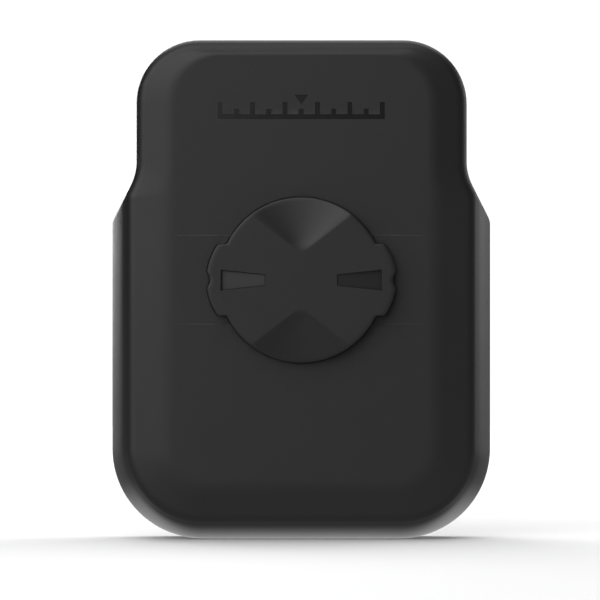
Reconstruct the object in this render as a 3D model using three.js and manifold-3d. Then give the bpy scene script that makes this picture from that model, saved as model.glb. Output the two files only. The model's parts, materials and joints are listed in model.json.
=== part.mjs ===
// A portable aviation GPS receiver with a quarter-turn mount on its back, standing on its bottom edge.
// x runs across, z up. Every part is placed by its depth: 0 is the flat of the back, and depth grows
// towards the display. The whole group is then shifted along y to centre the part on its origin.
// All sizes are in millimetres.
import * as THREE from "three";
import { mergeVertices } from "three/addons/utils/BufferGeometryUtils.js";
import Module from "manifold-3d";

const wasm = await Module();
wasm.setup();

// ---- Case outline, seen from the back ----
const caseHeight = 82;
const caseWidth = 62.2;
const headWidth = 54.5;
const headLength = 22; // from the top edge down to where the shoulders begin
const shoulderSlope = 0.5; // sideways run of a shoulder for each unit of height
const topCornerRadius = 10.5;
const bottomCornerRadius = 14.8;
const shoulderUpperRadius = 8.9;
const shoulderLowerRadius = 2.6;
const leastRadius = 0.3; // what is left of that round where an inset takes it up

// ---- Case section, from the back to the front ----
const caseThickness = 18;
const partingDepth = 8;
const partingGap = 0.15;
const crownDrop = 0.65; // how far the sloping border falls from the flat of the back
const crownFillet = 2.1;
const crownTurn = 66; // degrees that the fillet turns through before it runs into the flare
const flatSideBorder = 6.65;
const flatTopBorder = 2.7;
const flatBottomBorder = 7.5;
const flareWidth = 2.1; // how far the lower case stands out beyond its back
const flareBottom = 2.4;
const flareEndDepth = 7.4;
const insideKneeDepth = 2.75;
const frontFillet = 2.5;
const insideChamfer = 1.3;
const sideWall = 1.8;
const backWall = 2;
const frontWall = 2.2;

// ---- Clearances ----
const seatGap = 0.05; // parts fixed against each other
const looseGap = 0.2; // parts dropped into a pocket
const keyGap = 0.35; // keys that slide in their holes
const spigotGap = 0.1; // round the mount's spigot in its pocket
const shaftGap = 0.15; // round a screw that passes through
const pinGap = 0.06; // round the pin that the door turns on
const sunk = 0.3; // how far a boss or rib runs into the wall that carries it
const past = 1; // how far a hole runs past the face that it opens

// ---- Quarter-turn mount ----
const mountHeight = 42.5;
const mountProud = 3.7;
const mountRadius = 13.5;
const mountChamfer = 0.3;
const earRadius = 15.55; // from the centre of the mount to the tip of an ear
const earArc = 10; // radius of an ear's outer edge
const earHalfHeight = 5.85;
const earThickness = 1.7;
const notchRadius = 1.8;
const notchDepth = 0.57;
const spigotRadius = 10;
const spigotLength = 0.7;
const valleyApex = 4.3; // from the centre of the disc to the point of each conical valley
const valleySpread = 1.19; // half-width for each unit of length
const valleyFall = 0.11; // depth for each unit of length
const slotInner = 5.95;
const slotOuter = 13;
const slotInnerHalf = 0.8;
const slotOuterHalf = 1.6;
const slotInnerDepth = 0.25;
const slotOuterDepth = 0.9;
const mountPadRadius = 13;
const mountPadThickness = 1.2;
const mountScrewOffset = 6.4;

// ---- Screws: shaft and head radius, head thickness, length, and what is left under a tapped hole ----
const mountScrew = { shaft: 0.95, head: 1.8, cap: 0.9, length: 4.1, floor: 1.2 };
const caseScrew = { shaft: 0.95, head: 1.5, cap: 1.1, length: 12.6, sunk: 1.2, floor: 0.8 };
const boardScrew = { shaft: 0.75, head: 1.5, cap: 0.8, length: 5, floor: 0.6 };
const threadBite = 0.06; // how much wider than the shaft a tapped hole is drawn
const bossWall = 1.4;
const caseScrewTop = { fromSide: 6.25, fromTop: 6.3 };
const caseScrewBottom = { fromSide: 7.8, fromBottom: 6.9 };

// ---- Seal between the case halves ----
const sealInset = 0.5;
const sealWidth = 0.8;
const sealDepth = 0.8;

// ---- Battery ----
const batteryWidth = 40;
const batteryHeight = 43.5;
const batteryThickness = 4.6;
const batteryCorner = 1.5;
const tapeFromEnd = 4; // from the battery's ends to its tape
const batteryBottom = 7.5;
const tapeThickness = 0.4;
const tapeWidth = 24;
const batteryRib = { places: [-9, 0, 9], width: 1.2 }; // upright ribs behind the battery's lower half

// ---- Main board and what is on it ----
const boardThickness = 1;
const boardRoom = 0.7; // between the battery and the board
const boardSideGap = 2.65; // from the case's outer sides to the board's own edges
const boardEndGap = 4.5; // the same at the top and the bottom
const bossClear = 0.4;
const antennaSize = 18;
const antennaThickness = 4;
const antennaTopGap = 8.5;
const shield = { z: 48, width: 28, height: 21, wall: 0.3 };
const gnssChip = { x: -6, z: 51, size: 7, thickness: 0.9 };
const processorChip = { x: 6, z: 45, size: 9, thickness: 1 };
const beeper = { x: 12, z: 14, radius: 4.2 };
const batterySocket = { x: -14, width: 6, height: 3, thickness: 1.3, above: 1.3 };
const batteryLead = { width: 4, thickness: 0.3 };
const ribbonSocket = { z: 33, width: 14, height: 3.4, thickness: 0.95 };
const displayRibbon = { width: 12, thickness: 0.15, overhang: 0.8, drop: 0.4 };
const keypadConnector = { x: -10, z: 21.5, width: 9, height: 2.6 };
const boardScrewFromEdge = 2.3;
const boardScrewHeights = [27, 66];

// ---- USB socket, its door and the door's pin, on the right side of the case ----
const usbHeight = 36;
const socketWidth = 9;
const socketThickness = 3.2;
const socketLength = 7.3;
const socketWall = 0.35;
const socketBack = 1.2; // how thick the closed end of the socket is
const socketFromDoor = 0.25;
const socketTongue = { half: 0.35, rise: 3.3, setBack: 1 };
const socketShelfMargin = 1; // how much wider than the socket the board is under it
const doorLength = 16;
const doorWidth = 4.7;
const doorThickness = 1;
const doorGap = 0.2;
const nailGrip = { radius: 1.6, bite: 0.7 }; // a scoop at the door's free end for a fingernail
const knuckleRadius = 0.7;
const pinRadius = 0.3;
const pinLength = 6.4;
const portPad = 1.4;

// ---- Window and display ----
const windowSideBorder = 6.75;
const windowTopBorder = 8;
const windowBottom = 25;
const windowCorner = 4;
const windowThickness = 1;
const windowSealThickness = 0.15;
const windowLedge = 1.7;
const panelMargin = 0.8; // how much of the window's edge the display leaves free
const panelThickness = 1.4;
const panelLift = 0.2; // behind the front wall
const backlightThickness = 1.5;

// ---- Keys ----
const rockerHeight = 13.6;
const rockerRadius = 7.6;
const rockerHole = 3.5;
const rockerDish = 0.3; // how far the rocker's face falls towards its hole
const keyEdge = 0.5;
const rockerProud = 0.6;
const rockerFlange = 1;
const rockerFlangeThickness = 0.55;
const rockerFlangeDrop = 0.8; // room under the front wall for the tilt
const rockerGap = 0.55; // room round the rocker for its tilt
const seatInner = 3.6;
const seatOuter = 5.5;
const seatThickness = 0.35;
const enterRadius = 2.9;
const enterProud = 0.9;
const keyWidth = 9.6;
const keyHeight = 4.8;
const keyProud = 0.5;
const keyX = 16.8;
const keyHeights = { upper: 18, lower: 11.4 };
const keyFlange = 0.8;
const keyTravel = 0.5;
const keyStem = { radius: 1.2, room: 0.1 }; // room is what is left under a stem when its key is down
const keyFlangeDrop = 0.4;
const keypadEdge = { low: 4.6, belowWindow: 0.8 };
const keypadStep = 0.4; // how much smaller than the keypad board each layer over it is
const matThickness = 0.7;
const domeThickness = 0.35;
const keypadBoardThickness = 0.85;

// ---- Power button on the top edge ----
const powerX = -9;
const powerWidth = 11;
const powerThickness = 3.4;
const powerDepth = 11.8;
const powerSink = 0.1; // how far the button sits below the top edge
const powerFlange = 0.7;
const powerTravel = 0.5;
const switchSize = { width: 6, height: 3.2, thickness: 3, plunger: 1.6, stroke: 0.8 };

// ---- Status light above the window ----
const statusLightRadius = 0.8;
const statusLightFromTop = 4.4;

// ---- Worked out from the sizes above ----
const frontInside = caseThickness - frontWall;
const mateDepth = partingDepth + partingGap;
const frontMost = caseThickness + enterProud;
const statusLightHeight = caseHeight - statusLightFromTop;
const windowCentre = (windowBottom + caseHeight - windowTopBorder) / 2;
const centreDepth = (frontMost - mountProud) / 2;
const crownTurned = THREE.MathUtils.degToRad(crownTurn);
const crownEndDepth = crownDrop + crownFillet * (1 - Math.cos(crownTurned));
const crownEndInset = crownFillet * (1 - Math.sin(crownTurned));
const padDepth = backWall + mountPadThickness;
const tapeBottom = batteryBottom + tapeFromEnd;
const tapeTop = batteryBottom + batteryHeight - tapeFromEnd;
const batteryDepth = padDepth + tapeThickness + 2 * seatGap;
const batteryTop = batteryBottom + batteryHeight;
const boardDepth = batteryDepth + batteryThickness + boardRoom;
const boardFront = boardDepth + boardThickness;
const boardHalf = headWidth / 2 - boardSideGap;
const windowWidth = headWidth - 2 * windowSideBorder;
const windowHeight = caseHeight - windowTopBorder - windowBottom;
const panelDepth = frontInside - panelLift - panelThickness;
const backlightDepth = panelDepth - 2 * seatGap - backlightThickness;
const caseBossRadius = caseScrew.shaft + bossWall;
const caseScrewTopX = headWidth / 2 - caseScrewTop.fromSide;
const caseScrewBottomX = caseWidth / 2 - caseScrewBottom.fromSide;
const rockerOpening = rockerRadius + rockerGap;
const rockerFlangeRadius = rockerRadius + rockerFlange;
const keyBack = frontInside - keyFlangeDrop - keyFlange;
const rockerBack = frontInside - rockerFlangeDrop - rockerFlangeThickness;
const seatDepth = rockerBack - 2 * seatThickness;
const matFront = seatDepth - seatThickness;
const domeFront = matFront - matThickness - seatGap;
const keypadBoardFront = domeFront - domeThickness - seatGap;
const keypadBoardBack = keypadBoardFront - keypadBoardThickness;
const stemBack = matFront + keyTravel + keyStem.room;
const doorTop = usbHeight + doorLength / 2;
const doorDepth = boardFront + seatGap + socketThickness / 2;
const knuckleX = caseWidth / 2 - seatGap - knuckleRadius;
const knuckleHeight = doorTop - knuckleRadius - doorGap;

const v2 = (x, y) => new THREE.Vector2(x, y);

// ---- Solids ----

// A closed geometry as a manifold-3d solid whose faces point out.
function solid(geometry) {
  const bare = geometry.clone();
  bare.deleteAttribute("normal");
  bare.deleteAttribute("uv");
  const merged = mergeVertices(bare, 1e-4);
  const corner = [0, 1, 2].map(() => new THREE.Vector3());
  const triangles = [];
  let volume = 0;
  for (let i = 0; i < merged.index.count; i += 3) {
    const ids = [0, 1, 2].map((k) => merged.index.getX(i + k));
    if (new Set(ids).size < 3) continue;
    corner.forEach((c, k) => c.fromBufferAttribute(merged.attributes.position, ids[k]));
    volume += corner[0].dot(corner[1].clone().cross(corner[2]));
    triangles.push(ids);
  }
  const facing = triangles.map(([a, b, c]) => (volume < 0 ? [a, c, b] : [a, b, c]));
  const triVerts = new Uint32Array(facing.flat());
  const vertProperties = merged.attributes.position.array;
  return new wasm.Manifold(new wasm.Mesh({ numProp: 3, vertProperties, triVerts }));
}

const join = (first, ...others) => others.reduce((made, other) => made.add(other), first);
const cut = (first, ...others) => others.reduce((made, other) => made.subtract(other), first);

// A box between two corners, each given as x, depth, z.
function block([x0, d0, z0], [x1, d1, z1]) {
  const box = new THREE.BoxGeometry(x1 - x0, d1 - d0, z1 - z0);
  return solid(box.translate((x0 + x1) / 2, (d0 + d1) / 2, (z0 + z1) / 2));
}

// A round bar along the depth.
function post(x, z, radius, from, to, sides = 20) {
  const bar = new THREE.CylinderGeometry(radius, radius, to - from, sides);
  return solid(bar.translate(x, (from + to) / 2, z));
}

// A turned part about the depth axis: profile points are radius, depth.
function turned(profile, x, z, sides = 32) {
  const points = profile.map(([radius, depth]) => v2(radius, depth));
  return solid(new THREE.LatheGeometry(points, sides).translate(x, 0, z));
}

// A flat shape drawn in x and z, with its thickness along the depth.
function slab(shape, from, to, curveSegments = 5) {
  const options = { depth: to - from, bevelEnabled: false, curveSegments };
  const made = new THREE.ExtrudeGeometry(shape, options).rotateX(Math.PI / 2);
  return solid(made.translate(0, to, 0));
}

function roundedRect(x, z, width, height, radius) {
  const shape = new THREE.Shape();
  const [left, right] = [x - width / 2 + radius, x + width / 2 - radius];
  const [low, high] = [z - height / 2 + radius, z + height / 2 - radius];
  shape.absarc(right, low, radius, -Math.PI / 2, 0, false);
  shape.absarc(right, high, radius, 0, Math.PI / 2, false);
  shape.absarc(left, high, radius, Math.PI / 2, Math.PI, false);
  shape.absarc(left, low, radius, Math.PI, 1.5 * Math.PI, false);
  return shape;
}

// A flat strip that follows points given as depth, z, and is width wide in x.
function ribbon(path, thickness, x, width) {
  const points = path.map(([depth, z]) => v2(depth, z));
  const offset = (side) =>
    points.map((point, i) => {
      const into = point.clone().sub(points[Math.max(i - 1, 0)]).normalize();
      const out = points[Math.min(i + 1, points.length - 1)].clone().sub(point).normalize();
      const along = into.clone().add(out).normalize();
      const ahead = into.length() ? into : out;
      const stretch = thickness / 2 / Math.abs(along.dot(ahead));
      return point.clone().add(v2(-along.y, along.x).multiplyScalar(side * stretch));
    });
  const shape = new THREE.Shape([...offset(1), ...offset(-1).reverse()]);
  const made = new THREE.ExtrudeGeometry(shape, { depth: width, bevelEnabled: false });
  // The shape's x is the depth and its y is the height, so the three axes turn round by one place.
  const turn = new THREE.Matrix4().makeBasis(
    new THREE.Vector3(0, 1, 0),
    new THREE.Vector3(0, 0, 1),
    new THREE.Vector3(1, 0, 0),
  );
  return solid(made.applyMatrix4(turn).translate(x - width / 2, 0, 0));
}

// A closed solid through rings of equal point counts, from the back to the front.
function loft(rings) {
  const count = rings[0].points.length;
  const position = rings.flatMap(({ depth, points }) => points.flatMap((p) => [p.x, depth, p.y]));
  const index = [];
  for (let ring = 0; ring + 1 < rings.length; ring++) {
    for (let j = 0; j < count; j++) {
      const a = ring * count + j;
      const b = ring * count + ((j + 1) % count);
      index.push(a, a + count, b, b, a + count, b + count);
    }
  }
  const last = (rings.length - 1) * count;
  for (const [a, b, c] of THREE.ShapeUtils.triangulateShape(rings[0].points, [])) {
    index.push(a, b, c);
  }
  for (const [a, b, c] of THREE.ShapeUtils.triangulateShape(rings.at(-1).points, [])) {
    index.push(last + a, last + c, last + b);
  }
  const geometry = new THREE.BufferGeometry();
  geometry.setAttribute("position", new THREE.Float32BufferAttribute(position, 3));
  geometry.setIndex(index);
  return solid(geometry);
}

// ---- Outlines of the case ----
const arcSteps = { bottom: 9, lower: 2, upper: 4, top: 7 };

// The arc that rounds a corner between two straight edges, as points.
function roundCorner(before, corner, after, radius, steps) {
  const into = corner.clone().sub(before).normalize();
  const out = after.clone().sub(corner).normalize();
  const turn = Math.atan2(into.cross(out), into.dot(out));
  const start = corner.clone().addScaledVector(into, -radius * Math.tan(Math.abs(turn) / 2));
  const toCentre = v2(-into.y, into.x).multiplyScalar(Math.sign(turn) * radius);
  const centre = start.clone().add(toCentre);
  const stepped = (_, i) => start.clone().rotateAround(centre, (turn * i) / steps);
  return Array.from({ length: steps + 1 }, stepped);
}

const mirrored = (right) => [...right, ...right.map((p) => v2(-p.x, p.y)).reverse()];

// The full case, and its back: the back is narrower below the shoulders and starts higher up.
const caseShape = { lowerHalf: caseWidth / 2, bottom: 0, bottomRadius: bottomCornerRadius };
const backShape = {
  lowerHalf: caseWidth / 2 - flareWidth,
  bottom: flareBottom,
  bottomRadius: bottomCornerRadius - flareWidth,
};

function outline({ lowerHalf, bottom, bottomRadius }, inset = 0) {
  const shift = inset * Math.tan(Math.atan(shoulderSlope) / 2);
  const shoulderFall = (lowerHalf - headWidth / 2) / shoulderSlope;
  const shoulder = caseHeight - headLength - shift;
  const head = headWidth / 2 - inset;
  const lower = lowerHalf - inset;
  const corners = [
    v2(0, bottom + inset),
    v2(lower, bottom + inset),
    v2(lower, shoulder - shoulderFall),
    v2(head, shoulder),
    v2(head, caseHeight - inset),
    v2(0, caseHeight - inset),
  ];
  const rounds = [
    [bottomRadius - inset, arcSteps.bottom],
    [Math.max(shoulderLowerRadius - inset, leastRadius), arcSteps.lower],
    [shoulderUpperRadius + inset, arcSteps.upper],
    [topCornerRadius - inset, arcSteps.top],
  ];
  return mirrored(
    rounds.flatMap(([radius, steps], i) =>
      roundCorner(corners[i], corners[i + 1], corners[i + 2], radius, steps),
    ),
  );
}

// The flat of the back, with a point for each point of the back's outline.
function flatOutline() {
  const half = headWidth / 2 - flatSideBorder;
  const [low, high] = [flareBottom + flatBottomBorder, caseHeight - flatTopBorder];
  const bottomRadius = bottomCornerRadius - flareWidth - flatBottomBorder;
  const topRadius = topCornerRadius - flatTopBorder;
  const shoulderFrom = arcSteps.bottom + 1;
  const shoulderTo = shoulderFrom + arcSteps.lower + arcSteps.upper + 2;
  const shoulder = outline(backShape).slice(shoulderFrom, shoulderTo);
  return mirrored([
    ...roundCorner(v2(0, low), v2(half, low), v2(half, high), bottomRadius, arcSteps.bottom),
    ...shoulder.map((p) => v2(half, p.y)),
    ...roundCorner(v2(half, low), v2(half, high), v2(0, high), topRadius, arcSteps.top),
  ]);
}

const between = (from, to, share) => from.map((p, i) => p.clone().lerp(to[i], share));

// ---- Screws and the places they go to ----

// A screw whose head's underside is at depth seat; way is 1 when its shaft runs towards the front.
function screwSolid({ shaft, head, cap, length }, x, z, seat, way) {
  const drive = { radius: head * 0.5, floor: seat - way * cap * 0.4 };
  const top = seat - way * cap;
  const edge = cap * 0.25;
  const profile = [
    [0, drive.floor],
    [drive.radius, drive.floor],
    [drive.radius, top],
    [head - edge, top],
    [head, top + way * edge],
    [head, seat],
    [shaft, seat],
    [shaft, seat + way * (length - shaft)],
    [0, seat + way * length],
  ];
  return turned(profile, x, z, 14);
}

const signs = [
  [1, 1],
  [-1, 1],
  [-1, -1],
  [1, -1],
];
const mountScrewPlaces = signs.map(([right, up]) => ({
  x: right * mountScrewOffset,
  z: mountHeight + up * mountScrewOffset,
}));
const caseScrewPlaces = signs.map(([right, up]) =>
  up > 0
    ? { x: right * caseScrewTopX, z: caseHeight - caseScrewTop.fromTop }
    : { x: right * caseScrewBottomX, z: caseScrewBottom.fromBottom },
);
const boardScrewPlaces = boardScrewHeights.flatMap((z) => [
  { x: boardHalf - boardScrewFromEdge, z },
  { x: boardScrewFromEdge - boardHalf, z },
]);
const mountScrewSeat = padDepth - mountScrew.cap;
const caseScrewSeat = caseThickness - caseScrew.sunk - caseScrew.cap;

// ---- Back half ----

const crownSteps = 3;

// The flare's section: each point is a share of its width and a share of its depth.
const flareSection = [
  [0.37, 0.33],
  [0.72, 0.66],
  [0.94, 0.89],
  [1, 1],
];

function rearCover() {
  const crown = Array.from({ length: crownSteps + 1 }, (_, i) => {
    const angle = (crownTurned * i) / crownSteps;
    const inset = crownFillet * (1 - Math.sin(angle));
    return {
      depth: crownDrop + crownFillet * (1 - Math.cos(angle)),
      points: outline(backShape, inset),
    };
  });
  const flareLength = flareEndDepth - crownEndDepth;
  const flare = flareSection.map(([out, along]) => ({
    depth: crownEndDepth + along * flareLength,
    points: between(outline(backShape, crownEndInset), outline(caseShape), out),
  }));
  const rim = { depth: partingDepth, points: outline(caseShape) };
  const shell = loft([{ depth: 0, points: flatOutline() }, ...crown, ...flare, rim]);
  const inside = loft([
    { depth: backWall, points: outline(backShape, sideWall + crownFillet / 2) },
    { depth: insideKneeDepth, points: outline(backShape, sideWall) },
    { depth: partingDepth, points: outline(caseShape, sideWall) },
    { depth: partingDepth + past, points: outline(caseShape, sideWall) },
  ]);
  const pad = post(0, mountHeight, mountPadRadius, backWall - sunk, padDepth, 40);
  const ribTop = mountHeight - spigotRadius;
  const ribs = batteryRib.places.map((x) =>
    block(
      [x - batteryRib.width / 2, backWall - sunk, tapeBottom],
      [x + batteryRib.width / 2, padDepth, ribTop],
    ),
  );
  const bosses = caseScrewPlaces.map(({ x, z }) =>
    post(x, z, caseBossRadius, backWall - sunk, partingDepth),
  );
  const pilots = caseScrewPlaces.map(({ x, z }) =>
    post(x, z, caseScrew.shaft + threadBite, backWall + caseScrew.floor, partingDepth + past, 14),
  );
  const pocketRadius = spigotRadius + spigotGap;
  const pocket = post(0, mountHeight, pocketRadius, -past, spigotLength + spigotGap, 40);
  const mountHoles = mountScrewPlaces.flatMap(({ x, z }) => [
    post(x, z, mountScrew.shaft + shaftGap, -past, padDepth + past, 14),
    post(x, z, mountScrew.head + looseGap, mountScrewSeat - seatGap, padDepth + past, 18),
  ]);
  const groove = cut(
    sealRing(sealInset, partingDepth - sealDepth, partingDepth + past),
    sealRing(sealInset + sealWidth, partingDepth - sealDepth - past, partingDepth + 2 * past),
  );
  const hollow = cut(shell, inside);
  return cut(join(hollow, pad, ...ribs, ...bosses), pocket, ...mountHoles, ...pilots, groove);
}

// A solid plate of the case's outline, taken in by inset.
function sealRing(inset, from, to) {
  const points = outline(caseShape, inset);
  return loft([
    { depth: from, points },
    { depth: to, points },
  ]);
}

function caseSeal() {
  const [from, to] = [partingDepth - sealDepth + seatGap, mateDepth - seatGap];
  return cut(
    sealRing(sealInset + seatGap, from, to),
    sealRing(sealInset + sealWidth - seatGap, from - past, to + past),
  );
}

function quarterTurnMount() {
  const face = -mountProud;
  const disc = turned(
    [
      [0, face],
      [mountRadius - mountChamfer, face],
      [mountRadius, face + mountChamfer],
      [mountRadius, -seatGap],
      [spigotRadius, -seatGap],
      [spigotRadius, spigotLength],
      [0, spigotLength],
    ],
    0,
    mountHeight,
    56,
  );
  const earBand = block(
    [-earRadius - past, face - past, mountHeight - earHalfHeight],
    [earRadius + past, 0, mountHeight + earHalfHeight],
  );
  const notchX = earRadius + notchRadius - notchDepth;
  const earPosts = [1, -1].map((side) =>
    post(side * (earRadius - earArc), mountHeight, earArc, face, face + earThickness, 48),
  );
  const ears = cut(
    join(...earPosts).intersect(earBand),
    post(notchX, mountHeight, notchRadius, face - past, 0, 16),
    post(-notchX, mountHeight, notchRadius, face - past, 0, 16),
  );
  const pilots = mountScrewPlaces.map(({ x, z }) =>
    post(x, z, mountScrew.shaft + threadBite, face + mountScrew.floor, spigotLength + past, 14),
  );
  return cut(join(disc, ears), valley(1), valley(-1), gripSlot(1), gripSlot(-1), ...pilots);
}

// A conical valley in the face of the mount, opening towards its top (up = 1) or bottom (up = -1).
function valley(up) {
  const length = mountRadius; // any length that runs past the rim
  const cone = new THREE.ConeGeometry(1, 1, 28).translate(0, -0.5, 0).rotateX((-up * Math.PI) / 2);
  cone.scale(length * valleySpread, length * valleyFall, length);
  return solid(cone.translate(0, -mountProud, mountHeight + up * valleyApex));
}

// A wedge-shaped recess in the face of the mount, deepest at its outer end.
function gripSlot(side) {
  const face = -mountProud;
  const plan = new THREE.Shape([
    v2(side * slotInner, mountHeight - slotInnerHalf),
    v2(side * slotOuter, mountHeight - slotOuterHalf),
    v2(side * slotOuter, mountHeight + slotOuterHalf),
    v2(side * slotInner, mountHeight + slotInnerHalf),
  ]);
  const floor = new THREE.Shape([
    v2(side * (slotInner - past), face - past),
    v2(side * (slotOuter + past), face - past),
    v2(side * (slotOuter + past), face + slotOuterDepth),
    v2(side * (slotInner - past), face + slotInnerDepth),
  ]);
  const height = 4 * slotOuterHalf;
  const ramp = new THREE.ExtrudeGeometry(floor, { depth: height, bevelEnabled: false });
  ramp.translate(0, 0, mountHeight - height / 2);
  return slab(plan, face - past, 0).intersect(solid(ramp));
}

// ---- Electronics ----

const boardFoot = caseScrewBottomX - caseBossRadius - bossClear;

function mainBoard() {
  const tongue = caseScrewTopX - caseBossRadius - bossClear;
  const footTop = caseScrewBottom.fromBottom + caseBossRadius + bossClear;
  const tongueBottom = caseHeight - caseScrewTop.fromTop - caseBossRadius - bossClear;
  const [low, high] = [boardEndGap, caseHeight - boardEndGap];
  const right = [
    v2(boardFoot, low),
    v2(boardFoot, footTop),
    v2(boardHalf, footTop),
    v2(boardHalf, tongueBottom),
    v2(tongue, tongueBottom),
    v2(tongue, high),
  ];
  const plate = slab(new THREE.Shape(mirrored(right)), boardDepth, boardFront);
  const socketRise = socketWidth / 2 + socketShelfMargin;
  const socketShelf = block(
    [boardHalf - socketShelfMargin, boardDepth, usbHeight - socketRise],
    [caseWidth / 2 - sideWall - portPad - bossClear, boardFront, usbHeight + socketRise],
  );
  const board = join(plate, socketShelf);
  const holes = boardScrewPlaces.map(({ x, z }) =>
    post(x, z, boardScrew.shaft + shaftGap, boardDepth - past, boardFront + past, 12),
  );
  return cut(board, ...holes);
}

function shieldCan() {
  const { z, width, height, wall } = shield;
  const [half, rise] = [width / 2, height / 2];
  const [from, to] = [boardFront + seatGap, backlightDepth - looseGap];
  const can = block([-half, from, z - rise], [half, to, z + rise]);
  const hollow = block(
    [wall - half, from - past, z - rise + wall],
    [half - wall, to - wall, z + rise - wall],
  );
  return cut(can, hollow);
}

// A chip or socket on the board: side 1 is the board's front and -1 its back.
function onBoard(x, z, width, height, thickness, side) {
  const near = side > 0 ? boardFront + seatGap : boardDepth - seatGap - thickness;
  return block(
    [x - width / 2, near, z - height / 2],
    [x + width / 2, near + thickness, z + height / 2],
  );
}

const chip = ({ x, z, size, thickness }) => onBoard(x, z, size, size, thickness, 1);

function usbSocket() {
  const right = caseWidth / 2 - seatGap - doorThickness - socketFromDoor;
  const [from, to] = [boardFront + seatGap, boardFront + seatGap + socketThickness];
  const half = socketWidth / 2;
  const shell = block([right - socketLength, from, usbHeight - half], [right, to, usbHeight + half]);
  const mouth = block(
    [right - socketLength + socketBack, from + socketWall, usbHeight - half + socketWall],
    [right + past, to - socketWall, usbHeight + half - socketWall],
  );
  const middle = (from + to) / 2;
  const { half: tongueHalf, rise, setBack } = socketTongue;
  const tongue = block(
    [right - socketLength + socketBack - sunk, middle - tongueHalf, usbHeight - rise],
    [right - setBack, middle + tongueHalf, usbHeight + rise],
  );
  return join(cut(shell, mouth), tongue);
}

function powerSwitch() {
  const { width, height, thickness, plunger, stroke } = switchSize;
  const top = caseHeight - sideWall - keyGap - powerFlange - powerTravel - 2 * seatGap;
  const bodyTop = top - stroke;
  const [from, to] = [boardFront + seatGap, boardFront + seatGap + thickness];
  const body = block([powerX - width / 2, from, bodyTop - height], [powerX + width / 2, to, bodyTop]);
  const inset = (thickness - plunger) / 2;
  const knob = block(
    [powerX - plunger / 2, from + inset, bodyTop - sunk],
    [powerX + plunger / 2, to - inset, top],
  );
  return join(body, knob);
}

// ---- Front half ----

const frontFilletAngles = [0, 30, 60, 90];

function frontHousing() {
  const front = frontFilletAngles.map((degrees) => {
    const angle = THREE.MathUtils.degToRad(degrees);
    return {
      depth: caseThickness - frontFillet * (1 - Math.sin(angle)),
      points: outline(caseShape, frontFillet * (1 - Math.cos(angle))),
    };
  });
  const shell = loft([{ depth: mateDepth, points: outline(caseShape) }, ...front]);
  const inside = loft([
    { depth: mateDepth - past, points: outline(caseShape, sideWall) },
    { depth: frontInside - insideChamfer, points: outline(caseShape, sideWall) },
    { depth: frontInside, points: outline(caseShape, sideWall + insideChamfer) },
  ]);
  const caseBosses = caseScrewPlaces.map(({ x, z }) =>
    post(x, z, caseBossRadius, mateDepth, frontInside + sunk),
  );
  const boardBosses = boardScrewPlaces.map(({ x, z }) =>
    post(x, z, boardScrew.shaft + bossWall / 2, boardFront + seatGap, frontInside + sunk, 16),
  );
  const half = doorLength / 2 + portPad;
  const pad = block(
    [caseWidth / 2 - sideWall - portPad, mateDepth, usbHeight - half],
    [caseWidth / 2 - sideWall / 2, doorDepth + doorWidth / 2 + portPad, usbHeight + half],
  );
  const screwHoles = caseScrewPlaces.flatMap(({ x, z }) => [
    post(x, z, caseScrew.shaft + shaftGap, mateDepth - past, caseThickness, 14),
    post(x, z, caseScrew.head + looseGap, caseScrewSeat, caseThickness + past, 24),
  ]);
  const pilotEnd = boardDepth - seatGap + boardScrew.length + boardScrew.floor;
  const pilots = boardScrewPlaces.map(({ x, z }) =>
    post(x, z, boardScrew.shaft + threadBite, boardFront - past, pilotEnd, 12),
  );
  const body = join(cut(shell, inside), ...caseBosses, ...boardBosses, pad);
  const openings = [windowOpening(), ...keyOpenings(), powerOpening(), portOpening()];
  return cut(body, ...screwHoles, ...pilots, ...openings);
}

// A plate of the window's outline, grown by grow on every side.
function windowPlate(grow, from, to) {
  const [width, height] = [windowWidth + 2 * grow, windowHeight + 2 * grow];
  return slab(roundedRect(0, windowCentre, width, height, windowCorner + grow), from, to);
}

function windowOpening() {
  const floor = caseThickness - windowThickness - windowSealThickness - seatGap;
  return join(
    windowPlate(looseGap, floor, caseThickness + past),
    windowPlate(-windowLedge, frontInside - past, caseThickness),
  );
}

const keyPlaces = {
  nearest_key: { x: keyX, z: keyHeights.upper },
  menu_key: { x: keyX, z: keyHeights.lower },
  direct_key: { x: -keyX, z: keyHeights.upper },
  page_key: { x: -keyX, z: keyHeights.lower },
};

// A plate of a key's outline, grown by grow on every side.
function keyPlate({ x, z }, grow, from, to) {
  const [width, height] = [keyWidth + 2 * grow, keyHeight + 2 * grow];
  return slab(roundedRect(x, z, width, height, height / 2 - seatGap), from, to);
}

function keyOpenings() {
  const [from, to] = [frontInside - past, caseThickness + past];
  const keys = Object.values(keyPlaces).map((place) => keyPlate(place, keyGap, from, to));
  const rocker = post(0, rockerHeight, rockerOpening, from, to, 40);
  const light = post(0, statusLightHeight, statusLightRadius + seatGap, from, to, 16);
  return [...keys, rocker, light];
}

// A plate of the power button's outline, lying flat between two heights.
function powerPlate(grow, from, to) {
  const [width, height] = [powerWidth + 2 * grow, powerThickness + 2 * grow];
  const shape = roundedRect(powerX, powerDepth, width, height, height / 2 - seatGap);
  const options = { depth: to - from, bevelEnabled: false, curveSegments: 5 };
  return solid(new THREE.ExtrudeGeometry(shape, options).translate(0, 0, from));
}

const powerOpening = () => powerPlate(keyGap, caseHeight - sideWall - past, caseHeight + past);

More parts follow.
